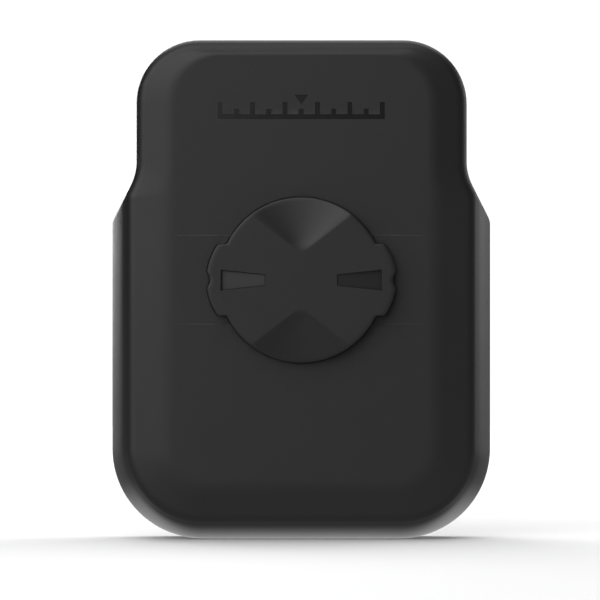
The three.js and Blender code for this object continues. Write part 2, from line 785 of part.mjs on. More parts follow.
// The recess for the door, the hole for the socket and the holes for the hinge pin.
function portOpening() {
  const right = caseWidth / 2;
  const [near, far] = [doorDepth - doorWidth / 2, doorDepth + doorWidth / 2];
  const floor = right - doorThickness - looseGap - seatGap;
  const recess = block(
    [floor, near, usbHeight - doorLength / 2],
    [right + past, far, usbHeight + doorLength / 2],
  );
  const knuckleRoom = block(
    [knuckleX - knuckleRadius - looseGap, near, knuckleHeight - knuckleRadius - looseGap],
    [right, far, doorTop],
  );
  const [rise, across] = [socketWidth / 2 + looseGap, socketThickness / 2 + looseGap];
  const hole = block(
    [right - sideWall - portPad - past, doorDepth - across, usbHeight - rise],
    [right, doorDepth + across, usbHeight + rise],
  );
  const nailX = right + nailGrip.radius - nailGrip.bite;
  const nail = post(nailX, usbHeight - doorLength / 2, nailGrip.radius, near, far, 16);
  const pinHole = post(knuckleX, knuckleHeight, pinRadius + seatGap, ...pinSpan(2 * seatGap), 12);
  return join(recess, knuckleRoom, hole, nail, pinHole);
}

const pinSpan = (grow) => [
  doorDepth - pinLength / 2 - grow,
  doorDepth + pinLength / 2 + grow,
];

function usbDoor() {
  const right = caseWidth / 2 - seatGap;
  const [near, far] = [doorDepth - doorWidth / 2 + doorGap, doorDepth + doorWidth / 2 - doorGap];
  const low = usbHeight - doorLength / 2 + doorGap;
  const plate = block([right - doorThickness, near, low], [right, far, knuckleHeight]);
  const knuckle = post(knuckleX, knuckleHeight, knuckleRadius, near, far, 18);
  const pinHole = post(knuckleX, knuckleHeight, pinRadius + pinGap, near - past, far + past, 12);
  return cut(join(plate, knuckle), pinHole);
}

// ---- Keys ----

function sideKey(place) {
  return join(
    keyPlate(place, 0, keyBack, caseThickness + keyProud),
    keyPlate(place, keyFlange, keyBack, keyBack + keyFlange),
    post(place.x, place.z, keyStem.radius, stemBack, keyBack + sunk, 14),
  );
}

function rockerRing() {
  const top = caseThickness + rockerProud;
  return turned(
    [
      [rockerHole, rockerBack],
      [rockerFlangeRadius, rockerBack],
      [rockerFlangeRadius, rockerBack + rockerFlangeThickness],
      [rockerRadius, rockerBack + rockerFlangeThickness],
      [rockerRadius, top - keyEdge],
      [rockerRadius - keyEdge, top],
      [rockerHole + keyEdge, top - rockerDish],
      [rockerHole, top - rockerDish - keyEdge],
      [rockerHole, rockerBack],
    ],
    0,
    rockerHeight,
    40,
  );
}

function rockerSeat() {
  return turned(
    [
      [seatInner, seatDepth],
      [seatOuter, seatDepth],
      [seatOuter, seatDepth + seatThickness],
      [seatInner, seatDepth + seatThickness],
      [seatInner, seatDepth],
    ],
    0,
    rockerHeight,
    28,
  );
}

function enterKey() {
  const top = caseThickness + enterProud;
  return turned(
    [
      [0, stemBack],
      [keyStem.radius, stemBack],
      [keyStem.radius, keyBack],
      [enterRadius, keyBack],
      [enterRadius, top - keyEdge],
      [enterRadius - keyEdge, top],
      [0, top],
    ],
    0,
    rockerHeight,
    24,
  );
}

function powerButton() {
  const inner = caseHeight - sideWall - keyGap;
  return join(
    powerPlate(0, inner - powerFlange, caseHeight - powerSink),
    powerPlate(powerFlange, inner - powerFlange, inner),
  );
}

// The layers under the keys: the silicone mat, the dome sheet and the keypad board.
function keypadLayer(thickness, front, shrink) {
  const [low, high] = [keypadEdge.low + shrink, windowBottom - keypadEdge.belowWindow - shrink];
  const half = boardFoot - shrink;
  return block([-half, front - thickness, low], [half, front, high]);
}

// ---- Materials ----
const finish = (color, roughness, metalness = 0) =>
  new THREE.MeshStandardMaterial({ color, roughness, metalness });
const casePlastic = finish(0x2b2b2c, 0.42);
const mountPlastic = finish(0x2a2a2b, 0.38);
const keyRubber = finish(0x1c1c1d, 0.7);
const sealRubber = finish(0x3a3a3c, 0.8);
const glass = finish(0x08090a, 0.08);
const panel = finish(0x14181c, 0.25);
const steel = finish(0x8d8f92, 0.35, 1);
const copper = finish(0x9a6a3c, 0.5, 0.6);
const boardGreen = finish(0x14502f, 0.5);
const chipBlack = finish(0x111112, 0.5);
const ceramic = finish(0xc9c2ae, 0.6);
const foil = finish(0xb9bcbf, 0.4, 0.8);
const lightPipe = finish(0xd8e4d8, 0.2);

// ---- Assembly ----
function group(...members) {
  const made = new THREE.Group();
  made.add(...members);
  return made;
}

function part(name, material, made) {
  const { numProp, vertProperties, triVerts } = made.getMesh();
  const position = new Float32Array((vertProperties.length / numProp) * 3);
  for (let i = 0; i * numProp < vertProperties.length; i++) {
    position.set(vertProperties.subarray(i * numProp, i * numProp + 3), i * 3);
  }
  const geometry = new THREE.BufferGeometry();
  geometry.setAttribute("position", new THREE.BufferAttribute(position, 3));
  geometry.setIndex(new THREE.BufferAttribute(triVerts, 1));
  geometry.computeVertexNormals();
  const mesh = new THREE.Mesh(geometry, material);
  mesh.name = name;
  return mesh;
}

const screwSet = (name, size, places, seat, way) =>
  places.map(({ x, z }, i) => part(`${name}_${i + 1}`, steel, screwSolid(size, x, z, seat, way)));

const backHalf = group(
  part("rear_cover", casePlastic, rearCover()),
  part("quarter_turn_mount", mountPlastic, quarterTurnMount()),
  ...screwSet("mount_screw", mountScrew, mountScrewPlaces, mountScrewSeat, -1),
  part("case_seal", sealRubber, caseSeal()),
  part(
    "battery_tape",
    chipBlack,
    block(
      [-tapeWidth / 2, padDepth + seatGap, tapeBottom],
      [tapeWidth / 2, batteryDepth - seatGap, tapeTop],
    ),
  ),
  part(
    "battery_cell",
    foil,
    slab(
      roundedRect(0, (batteryBottom + batteryTop) / 2, batteryWidth, batteryHeight, batteryCorner),
      batteryDepth,
      batteryDepth + batteryThickness,
      3,
    ),
  ),
);

const antennaHeight = caseHeight - antennaTopGap - antennaSize / 2;
const batterySocketZ = batteryTop + batterySocket.above + batterySocket.height / 2;
const batteryMiddle = batteryDepth + batteryThickness / 2;
const underKeypad = [boardFront + seatGap, keypadBoardBack - seatGap];
const electronics = group(
  part("main_board", boardGreen, mainBoard()),
  ...screwSet("board_screw", boardScrew, boardScrewPlaces, boardDepth - seatGap, 1),
  part("shield_can", foil, shieldCan()),
  part("gnss_chip", chipBlack, chip(gnssChip)),
  part("processor_chip", chipBlack, chip(processorChip)),
  part(
    "gps_antenna",
    ceramic,
    onBoard(0, antennaHeight, antennaSize, antennaSize, antennaThickness, -1),
  ),
  part("beeper", chipBlack, post(beeper.x, beeper.z, beeper.radius, ...underKeypad, 24)),
  part(
    "battery_socket",
    ceramic,
    onBoard(
      batterySocket.x,
      batterySocketZ,
      batterySocket.width,
      batterySocket.height,
      batterySocket.thickness,
      -1,
    ),
  ),
  part(
    "battery_lead",
    copper,
    ribbon(
      [
        [batteryMiddle, batteryTop + seatGap],
        [batteryMiddle, batterySocketZ],
        [boardDepth - batterySocket.thickness - 2 * seatGap, batterySocketZ],
      ],
      batteryLead.thickness,
      batterySocket.x,
      batteryLead.width,
    ),
  ),
  part(
    "ribbon_socket",
    ceramic,
    onBoard(0, ribbonSocket.z, ribbonSocket.width, ribbonSocket.height, ribbonSocket.thickness, 1),
  ),
  part(
    "keypad_connector",
    ceramic,
    block(
      [keypadConnector.x - keypadConnector.width / 2, underKeypad[0], keypadConnector.z],
      [
        keypadConnector.x + keypadConnector.width / 2,
        underKeypad[1],
        keypadConnector.z + keypadConnector.height,
      ],
    ),
  ),
  part("usb_connector", steel, usbSocket()),
  part("power_switch", chipBlack, powerSwitch()),
);

const ribbonTop = panelDepth + panelThickness / 2;
const ribbonEdge = windowBottom + panelMargin;
const ribbonLift = boardFront + ribbonSocket.thickness + looseGap;
const ribbonPath = [
  [ribbonTop, ribbonEdge - seatGap],
  [ribbonTop, ribbonEdge - displayRibbon.overhang],
  [backlightDepth - displayRibbon.drop, ribbonEdge - displayRibbon.overhang],
  [backlightDepth - displayRibbon.drop, ribbonSocket.z - ribbonSocket.height / 2],
  [ribbonLift, ribbonSocket.z],
  [ribbonLift, ribbonSocket.z + ribbonSocket.height / 2],
];
const display = group(
  part("display_backlight", lightPipe, displayPlate(backlightDepth, backlightThickness, 0.6)),
  part("display_panel", panel, displayPlate(panelDepth, panelThickness, 0)),
  part(
    "display_ribbon",
    copper,
    ribbon(ribbonPath, displayRibbon.thickness, 0, displayRibbon.width),
  ),
  part(
    "window_seal",
    chipBlack,
    cut(
      windowPlate(
        0,
        caseThickness - windowThickness - windowSealThickness,
        caseThickness - windowThickness - seatGap,
      ),
      windowPlate(-windowLedge, frontInside, caseThickness),
    ),
  ),
  part("display_window", glass, windowPlate(0, caseThickness - windowThickness, caseThickness)),
);

// A flat rectangular layer behind the window, taken in by shrink on every side.
function displayPlate(from, thickness, shrink) {
  const [half, rise] = [windowWidth / 2 - panelMargin - shrink, windowHeight / 2 - panelMargin - shrink];
  return block([-half, from, windowCentre - rise], [half, from + thickness, windowCentre + rise]);
}

const keypad = group(
  part("keypad_mat", sealRubber, keypadLayer(matThickness, matFront, keypadStep)),
  part("key_dome_sheet", foil, keypadLayer(domeThickness, domeFront, 2 * keypadStep)),
  part("keypad_board", boardGreen, keypadLayer(keypadBoardThickness, keypadBoardFront, 0)),
  ...Object.entries(keyPlaces).map(([name, place]) => part(name, keyRubber, sideKey(place))),
  part("rocker_seat", sealRubber, rockerSeat()),
  part("rocker_ring", keyRubber, rockerRing()),
  part("enter_key", keyRubber, enterKey()),
);

const frontHalf = group(
  part("front_housing", casePlastic, frontHousing()),
  ...screwSet("case_screw", caseScrew, caseScrewPlaces, caseScrewSeat + seatGap, -1),
  part("power_button", keyRubber, powerButton()),
  part("usb_cover", keyRubber, usbDoor()),
  part("usb_cover_pin", steel, post(knuckleX, knuckleHeight, pinRadius, ...pinSpan(0), 12)),
  part(
    "status_light",
    lightPipe,
    post(0, statusLightHeight, statusLightRadius, frontInside, caseThickness, 16),
  ),
);

const receiver = group(backHalf, electronics, display, keypad, frontHalf);
receiver.position.y = -centreDepth;

export default receiver;
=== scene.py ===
import bpy
import bmesh
import json
import math
from mathutils import Matrix, Vector


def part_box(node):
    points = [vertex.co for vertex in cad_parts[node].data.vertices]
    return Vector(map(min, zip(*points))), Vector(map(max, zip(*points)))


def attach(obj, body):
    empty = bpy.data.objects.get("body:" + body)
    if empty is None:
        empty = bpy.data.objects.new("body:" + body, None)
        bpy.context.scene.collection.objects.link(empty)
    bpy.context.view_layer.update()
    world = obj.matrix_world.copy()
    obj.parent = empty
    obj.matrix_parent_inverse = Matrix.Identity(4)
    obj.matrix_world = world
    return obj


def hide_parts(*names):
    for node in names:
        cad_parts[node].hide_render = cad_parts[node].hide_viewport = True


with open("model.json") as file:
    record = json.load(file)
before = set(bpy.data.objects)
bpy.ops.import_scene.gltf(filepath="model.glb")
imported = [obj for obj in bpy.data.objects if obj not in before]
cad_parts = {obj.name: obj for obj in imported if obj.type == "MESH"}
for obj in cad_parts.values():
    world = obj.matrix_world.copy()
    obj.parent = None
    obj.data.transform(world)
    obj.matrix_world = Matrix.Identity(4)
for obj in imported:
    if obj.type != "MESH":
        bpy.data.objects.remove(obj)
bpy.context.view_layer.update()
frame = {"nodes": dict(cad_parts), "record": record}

mm = 0.001
past = 1.0                   # how far a cut runs past the face that it opens


def boxMm(node):
    # lowest and highest corner of a node, in millimetres
    low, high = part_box(node)
    return low / mm, high / mm


def middle(low, high):
    return (low + high) / 2


# Everything below is placed by x, depth and z in millimetres. Depth 0 is the flat of the back, and
# depth grows towards the display.
backLow, backHigh = boxMm("rear_cover")
frontLow, frontHigh = boxMm("front_housing")
backPlane = backLow.y


def depthOf(y):
    return y - backPlane


def spot(x, depth, z):
    return Vector((x, backPlane + depth, z)) * mm


case = {
    "width": backHigh.x - backLow.x,
    "height": backHigh.z,
    "headWidth": 54.5,
    "headLength": 22.0,      # top edge down to the shoulders
    "shoulderSlope": 0.5,
    "topRadius": 10.5,
    "bottomRadius": 14.8,
    "shoulderUpper": 8.9,
    "shoulderLower": 2.6,
    "leastRadius": 0.3,      # what is left of that round where an inset takes it up
    "front": depthOf(frontHigh.y),
    "rearRim": depthOf(backHigh.y),
    "frontRim": depthOf(frontLow.y),
    "sideWall": 1.8,
    "steps": {"bottom": 22, "lower": 6, "upper": 9, "top": 18},
}


# Outlines are lists of (x, z) points that run counter-clockwise seen from the back.
def roundCorner(before, corner, after, radius, steps):
    into = (corner - before).normalized()
    out = (after - corner).normalized()
    turn = math.atan2(into.x * out.y - into.y * out.x, into.dot(out))
    start = corner - into * radius * math.tan(abs(turn) / 2)
    centre = start + Vector((-into.y, into.x)) * math.copysign(radius, turn)
    spoke = start - centre
    return [centre + Matrix.Rotation(turn * i / steps, 2) @ spoke for i in range(steps + 1)]


def mirrored(right):
    return right + [Vector((-p.x, p.y)) for p in reversed(right)]


def caseOutline(lowerHalf, bottom, bottomRadius, inset=0.0):
    shift = inset * math.tan(math.atan(case["shoulderSlope"]) / 2)
    head = case["headWidth"] / 2 - inset
    fall = (lowerHalf - case["headWidth"] / 2) / case["shoulderSlope"]
    shoulder = case["height"] - case["headLength"] - shift
    top = case["height"] - inset
    lower = lowerHalf - inset
    low = bottom + inset
    corners = [Vector(c) for c in ((0, low), (lower, low), (lower, shoulder - fall), (head, shoulder),
                                   (head, top), (0, top))]
    steps = case["steps"]
    rounds = [(bottomRadius - inset, steps["bottom"]),
              (max(case["shoulderLower"] - inset, case["leastRadius"]), steps["lower"]),
              (case["shoulderUpper"] + inset, steps["upper"]),
              (case["topRadius"] - inset, steps["top"])]
    right = []
    for i, (radius, count) in enumerate(rounds):
        right += roundCorner(corners[i], corners[i + 1], corners[i + 2], radius, count)
    return mirrored(right)


back = {
    "flare": 2.1,            # how far the lower case stands out beyond its back
    "bottom": 2.4,
    "crownDrop": 0.65,
    "crownFillet": 2.1,
    "crownLean": 8.0,        # degrees the fillet already leans where it starts
    "crownTurn": 58.0,       # and where it runs into the flare
    "flatSide": 6.65,
    "flatTop": 2.7,
    "flatBottom": 7.5,
    "fallWidth": 4.5,        # border width that takes the whole fall
    "ease": 0.4,             # share of the sloping border where its fall sets in
    "wall": 2.0,
}


def fullOutline(inset=0.0):
    return caseOutline(case["width"] / 2, 0.0, case["bottomRadius"], inset)


def backOutline(inset=0.0):
    return caseOutline(case["width"] / 2 - back["flare"], back["bottom"],
                       case["bottomRadius"] - back["flare"], inset)


def flatOutline(inset=0.0):
    half = case["headWidth"] / 2 - back["flatSide"] - inset
    low = back["bottom"] + back["flatBottom"] + inset
    high = case["height"] - back["flatTop"] - inset
    steps = case["steps"]
    lowRadius = case["bottomRadius"] - back["flare"] - back["flatBottom"] - inset
    topRadius = case["topRadius"] - back["flatTop"] - inset
    # straight sides, with a point at the height of each point of the shoulders
    first = steps["bottom"] + 1
    count = steps["lower"] + steps["upper"] + 2
    sides = [Vector((half, p.y)) for p in backOutline()[first:first + count]]
    lowCorner = roundCorner(Vector((0, low)), Vector((half, low)), Vector((half, high)), lowRadius,
                            steps["bottom"])
    topCorner = roundCorner(Vector((half, low)), Vector((half, high)), Vector((0, high)), topRadius,
                            steps["top"])
    return mirrored(lowCorner + sides + topCorner)


def between(first, second, share):
    return [a.lerp(b, share) for a, b in zip(first, second)]


def circle(x, z, radius, count=48):
    angles = [2 * math.pi * i / count for i in range(count)]
    return [Vector((x + radius * math.cos(a), z + radius * math.sin(a))) for a in angles]


def quarterRound(radius, steps):
    # inset and depth below the top, along a quarter circle from the side to the top
    angles = [math.pi / 2 * k / steps for k in range(1, steps + 1)]
    return [(radius * (1 - math.cos(a)), radius * (1 - math.sin(a))) for a in angles]


def roundedBox(x, z, width, height, radius, steps=8):
    w, h = width / 2, height / 2
    corners = [Vector(c) for c in ((x + w, z - h), (x + w, z + h), (x - w, z + h), (x - w, z - h))]
    points = []
    for i in range(4):
        points += roundCorner(corners[i - 1], corners[i], corners[(i + 1) % 4], radius, steps)
    return points


def stadium(x, z, width, height, steps=12):
    return roundedBox(x, z, width, height, min(width, height) / 2 - 0.001, steps)


def newObject(name, verts, faces):
    mesh = bpy.data.meshes.new(name)
    mesh.from_pydata(verts, [], faces)
    made = bmesh.new()
    made.from_mesh(mesh)
    bmesh.ops.remove_doubles(made, verts=made.verts, dist=1e-7)
    bmesh.ops.recalc_face_normals(made, faces=made.faces)
    made.to_mesh(mesh)
    made.free()
    obj = bpy.data.objects.new(name, mesh)
    bpy.context.scene.collection.objects.link(obj)
    return obj


def spotUp(a, height, b):
    return spot(a, b, height)      # outlines in x and depth, stacked upwards


def spotAcross(a, x, b):
    return spot(x, a, b)           # outlines in depth and z, stacked sideways


def loft(name, rings, place=spot):
    # rings is a list of (outline, depth or one depth for each point); both ends are closed
    count = len(rings[0][0])
    verts = []
    for outline, depth in rings:
        depths = depth if isinstance(depth, list) else [depth] * count
        verts += [place(p.x, d, p.y) for p, d in zip(outline, depths)]
    faces = []
    for ring in range(len(rings) - 1):
        for j in range(count):
            a, b = ring * count + j, ring * count + (j + 1) % count
            faces.append((a, b, b + count, a + count))
    last = (len(rings) - 1) * count
    faces.append(tuple(range(count)))
    faces.append(tuple(last + i for i in reversed(range(count))))
    return newObject(name, verts, faces)


def prism(name, outline, near, far, place=spot):
    return loft(name, [(outline, near), (outline, far)], place)


def turned(name, profile, x, z, count=64):
    # profile is a list of (radius, depth) from the axis round to the axis, or a closed loop
    closed = profile[0][0] > 0
    rings = profile if closed else profile[1:-1]
    verts = [spot(p.x, depth, p.y) for radius, depth in rings for p in circle(x, z, radius, count)]
    faces = []
    for ring in range(len(rings) if closed else len(rings) - 1):
        for j in range(count):
            a, b = ring * count + j, ring * count + (j + 1) % count
            c, d = (a + count) % len(verts), (b + count) % len(verts)
            faces.append((a, b, d, c))
    if not closed:
        for (radius, depth), ring in ((profile[0], 0), (profile[-1], len(rings) - 1)):
            tip = len(verts)
            verts.append(spot(x, depth, z))
            for j in range(count):
                faces.append((tip, ring * count + j, ring * count + (j + 1) % count))
    return newObject(name, verts, faces)


def slabBox(name, low, high):
    corners = [spot(x, d, z) for x in (low[0], high[0]) for d in (low[1], high[1])
               for z in (low[2], high[2])]
    faces = [(0, 1, 3, 2), (4, 6, 7, 5), (0, 4, 5, 1), (2, 3, 7, 6), (0, 2, 6, 4), (1, 5, 7, 3)]
    return newObject(name, corners, faces)


def boolean(obj, tools, operation):
    for tool in tools:
        step = obj.modifiers.new("boolean", "BOOLEAN")
        step.operation = operation
        step.solver = "EXACT"
        step.object = tool
        graph = bpy.context.evaluated_depsgraph_get()
        mesh = bpy.data.meshes.new_from_object(obj.evaluated_get(graph))
        obj.modifiers.clear()
        obj.data = mesh
        bpy.data.objects.remove(tool)
    return obj


def joined(name, objects):
    made = bmesh.new()
    for obj in objects:
        made.from_mesh(obj.data)
        bpy.data.objects.remove(obj)
    mesh = bpy.data.meshes.new(name)
    made.to_mesh(mesh)
    made.free()
    whole = bpy.data.objects.new(name, mesh)
    bpy.context.scene.collection.objects.link(whole)
    return whole


def finishPiece(obj, body, material, nodes=(), sharp=32):
    # smooth shading with sharp creases, one material, and its place in the frame
    made = bmesh.new()
    made.from_mesh(obj.data)
    bmesh.ops.remove_doubles(made, verts=made.verts, dist=2e-7)
    bmesh.ops.dissolve_degenerate(made, edges=made.edges, dist=2e-7)
    made.to_mesh(obj.data)
    made.free()
    obj.data.name = obj.name
    obj.data.shade_smooth()
    obj.data.set_sharp_from_angle(angle=math.radians(sharp))
    obj.data.materials.clear()
    obj.data.materials.append(material)
    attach(obj, body)
    if nodes:
        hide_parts(*nodes)
    return obj


def newGroup(name, inputs, outputs):
    # a node group with its input and output nodes; inputs are (label, value) pairs
    group = bpy.data.node_groups.new(name, "ShaderNodeTree")
    for label, default in inputs:
        socket = group.interface.new_socket(label, in_out="INPUT", socket_type="NodeSocketFloat")
        socket.default_value = default
    for label in outputs:
        group.interface.new_socket(label, in_out="OUTPUT", socket_type="NodeSocketFloat")
    return group, group.nodes.new("NodeGroupInput"), group.nodes.new("NodeGroupOutput")


def addMath(tree, operation, first, second=None, clamp=False):
    node = tree.nodes.new("ShaderNodeMath")
    node.operation = operation
    node.use_clamp = clamp
    for socket, value in zip(node.inputs, (first, second)):
        if isinstance(value, (int, float)):
            socket.default_value = value
        elif value is not None:
            tree.links.new(value, socket)
    return node.outputs[0]


def addNoise(tree, coordinates, scale, detail=2.0, roughness=0.5):
    node = tree.nodes.new("ShaderNodeTexNoise")
    tree.links.new(coordinates, node.inputs["Vector"])
    for label, value in (("Scale", scale), ("Detail", detail), ("Roughness", roughness)):
        if isinstance(value, (int, float)):
            node.inputs[label].default_value = value
        else:
            tree.links.new(value, node.inputs[label])
    return node.outputs["Fac"]


def objectCoordinates(tree):
    return tree.nodes.new("ShaderNodeTexCoord").outputs["Object"]


def makeMouldGrain():
    # the fine spark-eroded texture of a mould, with a slow waviness under it
    inputs = [("Cells per metre", 6000.0), ("Fine share", 0.5)]
    group, given, result = newGroup("mouldGrain", inputs, ["Height", "Tone"])
    place = objectCoordinates(group)
    coarse = addNoise(group, place, given.outputs["Cells per metre"], 3.0, 0.55)
    finer = addMath(group, "MULTIPLY", given.outputs["Cells per metre"], 2.7)
    fine = addNoise(group, place, finer, 2.0, 0.6)
    fineShare = addMath(group, "MULTIPLY", fine, given.outputs["Fine share"])
    group.links.new(addMath(group, "ADD", coarse, fineShare), result.inputs["Height"])
    group.links.new(addNoise(group, place, 90.0, 4.0), result.inputs["Tone"])
    return group


def makeEdgeWear():
    # where edges have been rubbed, broken up so that it isn't an even line
    inputs = [("Start", 0.52), ("Reach", 0.1), ("Break-up", 0.6)]
    group, given, result = newGroup("edgeWear", inputs, ["Mask"])
    pointed = group.nodes.new("ShaderNodeNewGeometry").outputs["Pointiness"]
    above = addMath(group, "SUBTRACT", pointed, given.outputs["Start"])
    edge = addMath(group, "DIVIDE", above, given.outputs["Reach"], clamp=True)
    patches = addNoise(group, objectCoordinates(group), 700.0, 4.0, 0.6)
    kept = addMath(group, "SUBTRACT", patches, addMath(group, "MULTIPLY", given.outputs["Break-up"], 0.6))
    shown = addMath(group, "MULTIPLY", kept, 3.0, clamp=True)
    group.links.new(addMath(group, "MULTIPLY", edge, shown), result.inputs["Mask"])
    return group


def makeHandling():
    # faint smears and polished patches left by hands, which only change the gloss
    inputs = [("Patches per metre", 45.0), ("Contrast", 1.0)]
    group, given, result = newGroup("handling", inputs, ["Gloss change"])
    place = objectCoordinates(group)
    broad = addNoise(group, place, given.outputs["Patches per metre"], 5.0, 0.6)
    centred = addMath(group, "SUBTRACT", broad, 0.5)
    group.links.new(addMath(group, "MULTIPLY", centred, given.outputs["Contrast"]),
                    result.inputs["Gloss change"])
    return group


def makeDust():
    # a few settled specks, only on what faces up
    inputs = [("Specks per metre", 2600.0), ("Share", 0.06)]
    group, given, result = newGroup("settledDust", inputs, ["Mask"])
    cells = group.nodes.new("ShaderNodeTexVoronoi")
    group.links.new(objectCoordinates(group), cells.inputs["Vector"])
    group.links.new(given.outputs["Specks per metre"], cells.inputs["Scale"])
    near = addMath(group, "LESS_THAN", cells.outputs["Distance"], 0.16)
    colour = group.nodes.new("ShaderNodeSeparateColor")
    group.links.new(cells.outputs["Color"], colour.inputs[0])
    chosen = addMath(group, "LESS_THAN", colour.outputs[0], given.outputs["Share"])
    normal = group.nodes.new("ShaderNodeSeparateXYZ")
    group.links.new(group.nodes.new("ShaderNodeNewGeometry").outputs["Normal"], normal.inputs[0])
    facingUp = addMath(group, "MULTIPLY", addMath(group, "SUBTRACT", normal.outputs["Z"], 0.3), 1.4,
                       clamp=True)
    speck = addMath(group, "MULTIPLY", near, chosen)
    group.links.new(addMath(group, "MULTIPLY", speck, facingUp), result.inputs["Mask"])
    return group


groups = {
    "grain": makeMouldGrain(),
    "wear": makeEdgeWear(),
    "handling": makeHandling(),
    "dust": makeDust(),
}
print("node groups made:", ", ".join(group.name for group in groups.values()))


def placeGroup(tree, name, values):
    node = tree.nodes.new("ShaderNodeGroup")
    node.node_tree = groups[name]
    for label, value in values.items():
        node.inputs[label].default_value = value
    return node


def mixColours(tree, factor, first, second):
    node = tree.nodes.new("ShaderNodeMix")
    node.data_type = "RGBA"
    node.clamp_factor = True
    tree.links.new(factor, node.inputs[0])
    for socket, value in ((node.inputs[6], first), (node.inputs[7], second)):
        if isinstance(value, bpy.types.NodeSocket):
            tree.links.new(value, socket)
        else:
            socket.default_value = (*value, 1.0)
    return node.outputs[2]


dustColour = (0.22, 0.215, 0.2)


def makeMaterial(name, look):
    # look holds the finish: colour, tone, roughness, gloss, grain, wear, dust and plain shader values
    material = bpy.data.materials.new(name)
    material.use_nodes = True
    tree = material.node_tree
    shader = tree.nodes["Principled BSDF"]
    colour = look["colour"]
    grain = placeGroup(tree, "grain", {"Cells per metre": look["cells"]})
    tone = look["tone"]
    shaded = mixColours(tree, grain.outputs["Tone"], [c * (1 - tone) for c in colour],
                        [c * (1 + tone) for c in colour])
    handling = placeGroup(tree, "handling", {"Contrast": look.get("gloss", 0.1)})
    rough = addMath(tree, "ADD", handling.outputs["Gloss change"], look["roughness"])
    if "wear" in look:
        wear = placeGroup(tree, "wear", look["wear"])
        shaded = mixColours(tree, wear.outputs["Mask"], shaded, look["wornColour"])
        worn = addMath(tree, "MULTIPLY", wear.outputs["Mask"], look["wornGloss"])
        rough = addMath(tree, "ADD", rough, worn)
    if "dust" in look:
        dust = placeGroup(tree, "dust", {"Share": look["dust"]})
        shaded = mixColours(tree, dust.outputs["Mask"], shaded, dustColour)
    tree.links.new(shaded, shader.inputs["Base Color"])
    tree.links.new(addMath(tree, "ADD", rough, 0.0, clamp=True), shader.inputs["Roughness"])
    bump = tree.nodes.new("ShaderNodeBump")
    bump.inputs["Strength"].default_value = look["bump"]
    bump.inputs["Distance"].default_value = look["relief"] * mm
    tree.links.new(grain.outputs["Height"], bump.inputs["Height"])
    tree.links.new(bump.outputs["Normal"], shader.inputs["Normal"])
    for label, value in look.get("plain", {}).items():
        shader.inputs[label].default_value = value
    return material


looks = {
    "case_plastic": {"colour": (0.01, 0.01, 0.01), "tone": 0.05, "roughness": 0.4, "gloss": 0.1,
                     "cells": 5200.0, "bump": 0.5, "relief": 0.02,
                     "wear": {"Start": 0.53, "Reach": 0.12}, "wornColour": (0.045, 0.045, 0.045),
                     "wornGloss": -0.08, "dust": 0.03, "plain": {"IOR": 1.5}},
    "mount_plastic": {"colour": (0.01, 0.01, 0.01), "tone": 0.04, "roughness": 0.38, "gloss": 0.1,
                      "cells": 6400.0, "bump": 0.4, "relief": 0.015, "plain": {"IOR": 1.5}},
    "symbol_gloss": {"colour": (0.006, 0.006, 0.006), "tone": 0.1, "roughness": 0.16, "gloss": 0.06,
                     "cells": 3000.0, "bump": 0.1, "relief": 0.005, "plain": {"IOR": 1.5}},
    "key_rubber": {"colour": (0.013, 0.013, 0.0135), "tone": 0.12, "roughness": 0.62, "gloss": 0.16,
                   "cells": 9000.0, "bump": 0.5, "relief": 0.015, "dust": 0.08,
                   "wear": {"Start": 0.53, "Reach": 0.1}, "wornColour": (0.03, 0.03, 0.03),
                   "wornGloss": -0.2, "plain": {"IOR": 1.45}},
    "seal_rubber": {"colour": (0.035, 0.035, 0.037), "tone": 0.15, "roughness": 0.8, "cells": 7000.0,
                    "bump": 0.5, "relief": 0.02, "dust": 0.1},
    "black_tape": {"colour": (0.01, 0.01, 0.01), "tone": 0.2, "roughness": 0.85, "cells": 2400.0,
                   "bump": 0.6, "relief": 0.03},
    "screw_steel": {"colour": (0.42, 0.42, 0.43), "tone": 0.1, "roughness": 0.32, "gloss": 0.25,
                    "cells": 5000.0, "bump": 0.3, "relief": 0.008, "wear": {"Start": 0.52, "Reach": 0.1},
                    "wornColour": (0.62, 0.62, 0.62), "wornGloss": -0.1, "plain": {"Metallic": 1.0}},
    "battery_foil": {"colour": (0.5, 0.51, 0.53), "tone": 0.08, "roughness": 0.36, "gloss": 0.3,
                     "cells": 900.0, "bump": 0.6, "relief": 0.05, "plain": {"Metallic": 1.0}},
    "shield_metal": {"colour": (0.55, 0.55, 0.53), "tone": 0.08, "roughness": 0.34, "gloss": 0.3,
                     "cells": 2200.0, "bump": 0.3, "relief": 0.02, "plain": {"Metallic": 1.0}},
    "board_laminate": {"colour": (0.012, 0.085, 0.035), "tone": 0.25, "roughness": 0.35, "gloss": 0.2,
                       "cells": 1600.0, "bump": 0.5, "relief": 0.02},
    "chip_resin": {"colour": (0.012, 0.012, 0.013), "tone": 0.2, "roughness": 0.55, "cells": 8000.0,
                   "bump": 0.5, "relief": 0.01},
    "antenna_ceramic": {"colour": (0.5, 0.46, 0.36), "tone": 0.1, "roughness": 0.6, "cells": 4000.0,
                        "bump": 0.5, "relief": 0.015},
    "socket_nylon": {"colour": (0.55, 0.53, 0.46), "tone": 0.06, "roughness": 0.5, "cells": 5000.0,
                     "bump": 0.3, "relief": 0.01},
    "flex_film": {"colour": (0.32, 0.13, 0.025), "tone": 0.15, "roughness": 0.3, "cells": 1500.0,
                  "bump": 0.3, "relief": 0.01},
    "light_guide": {"colour": (0.62, 0.68, 0.64), "tone": 0.04, "roughness": 0.3, "cells": 3000.0,
                    "bump": 0.3, "relief": 0.01},
    "print_white": {"colour": (0.62, 0.62, 0.6), "tone": 0.06, "roughness": 0.5, "cells": 9000.0,
                    "bump": 0.3, "relief": 0.004},
}
materials = {name: makeMaterial(name, look) for name, look in looks.items()}
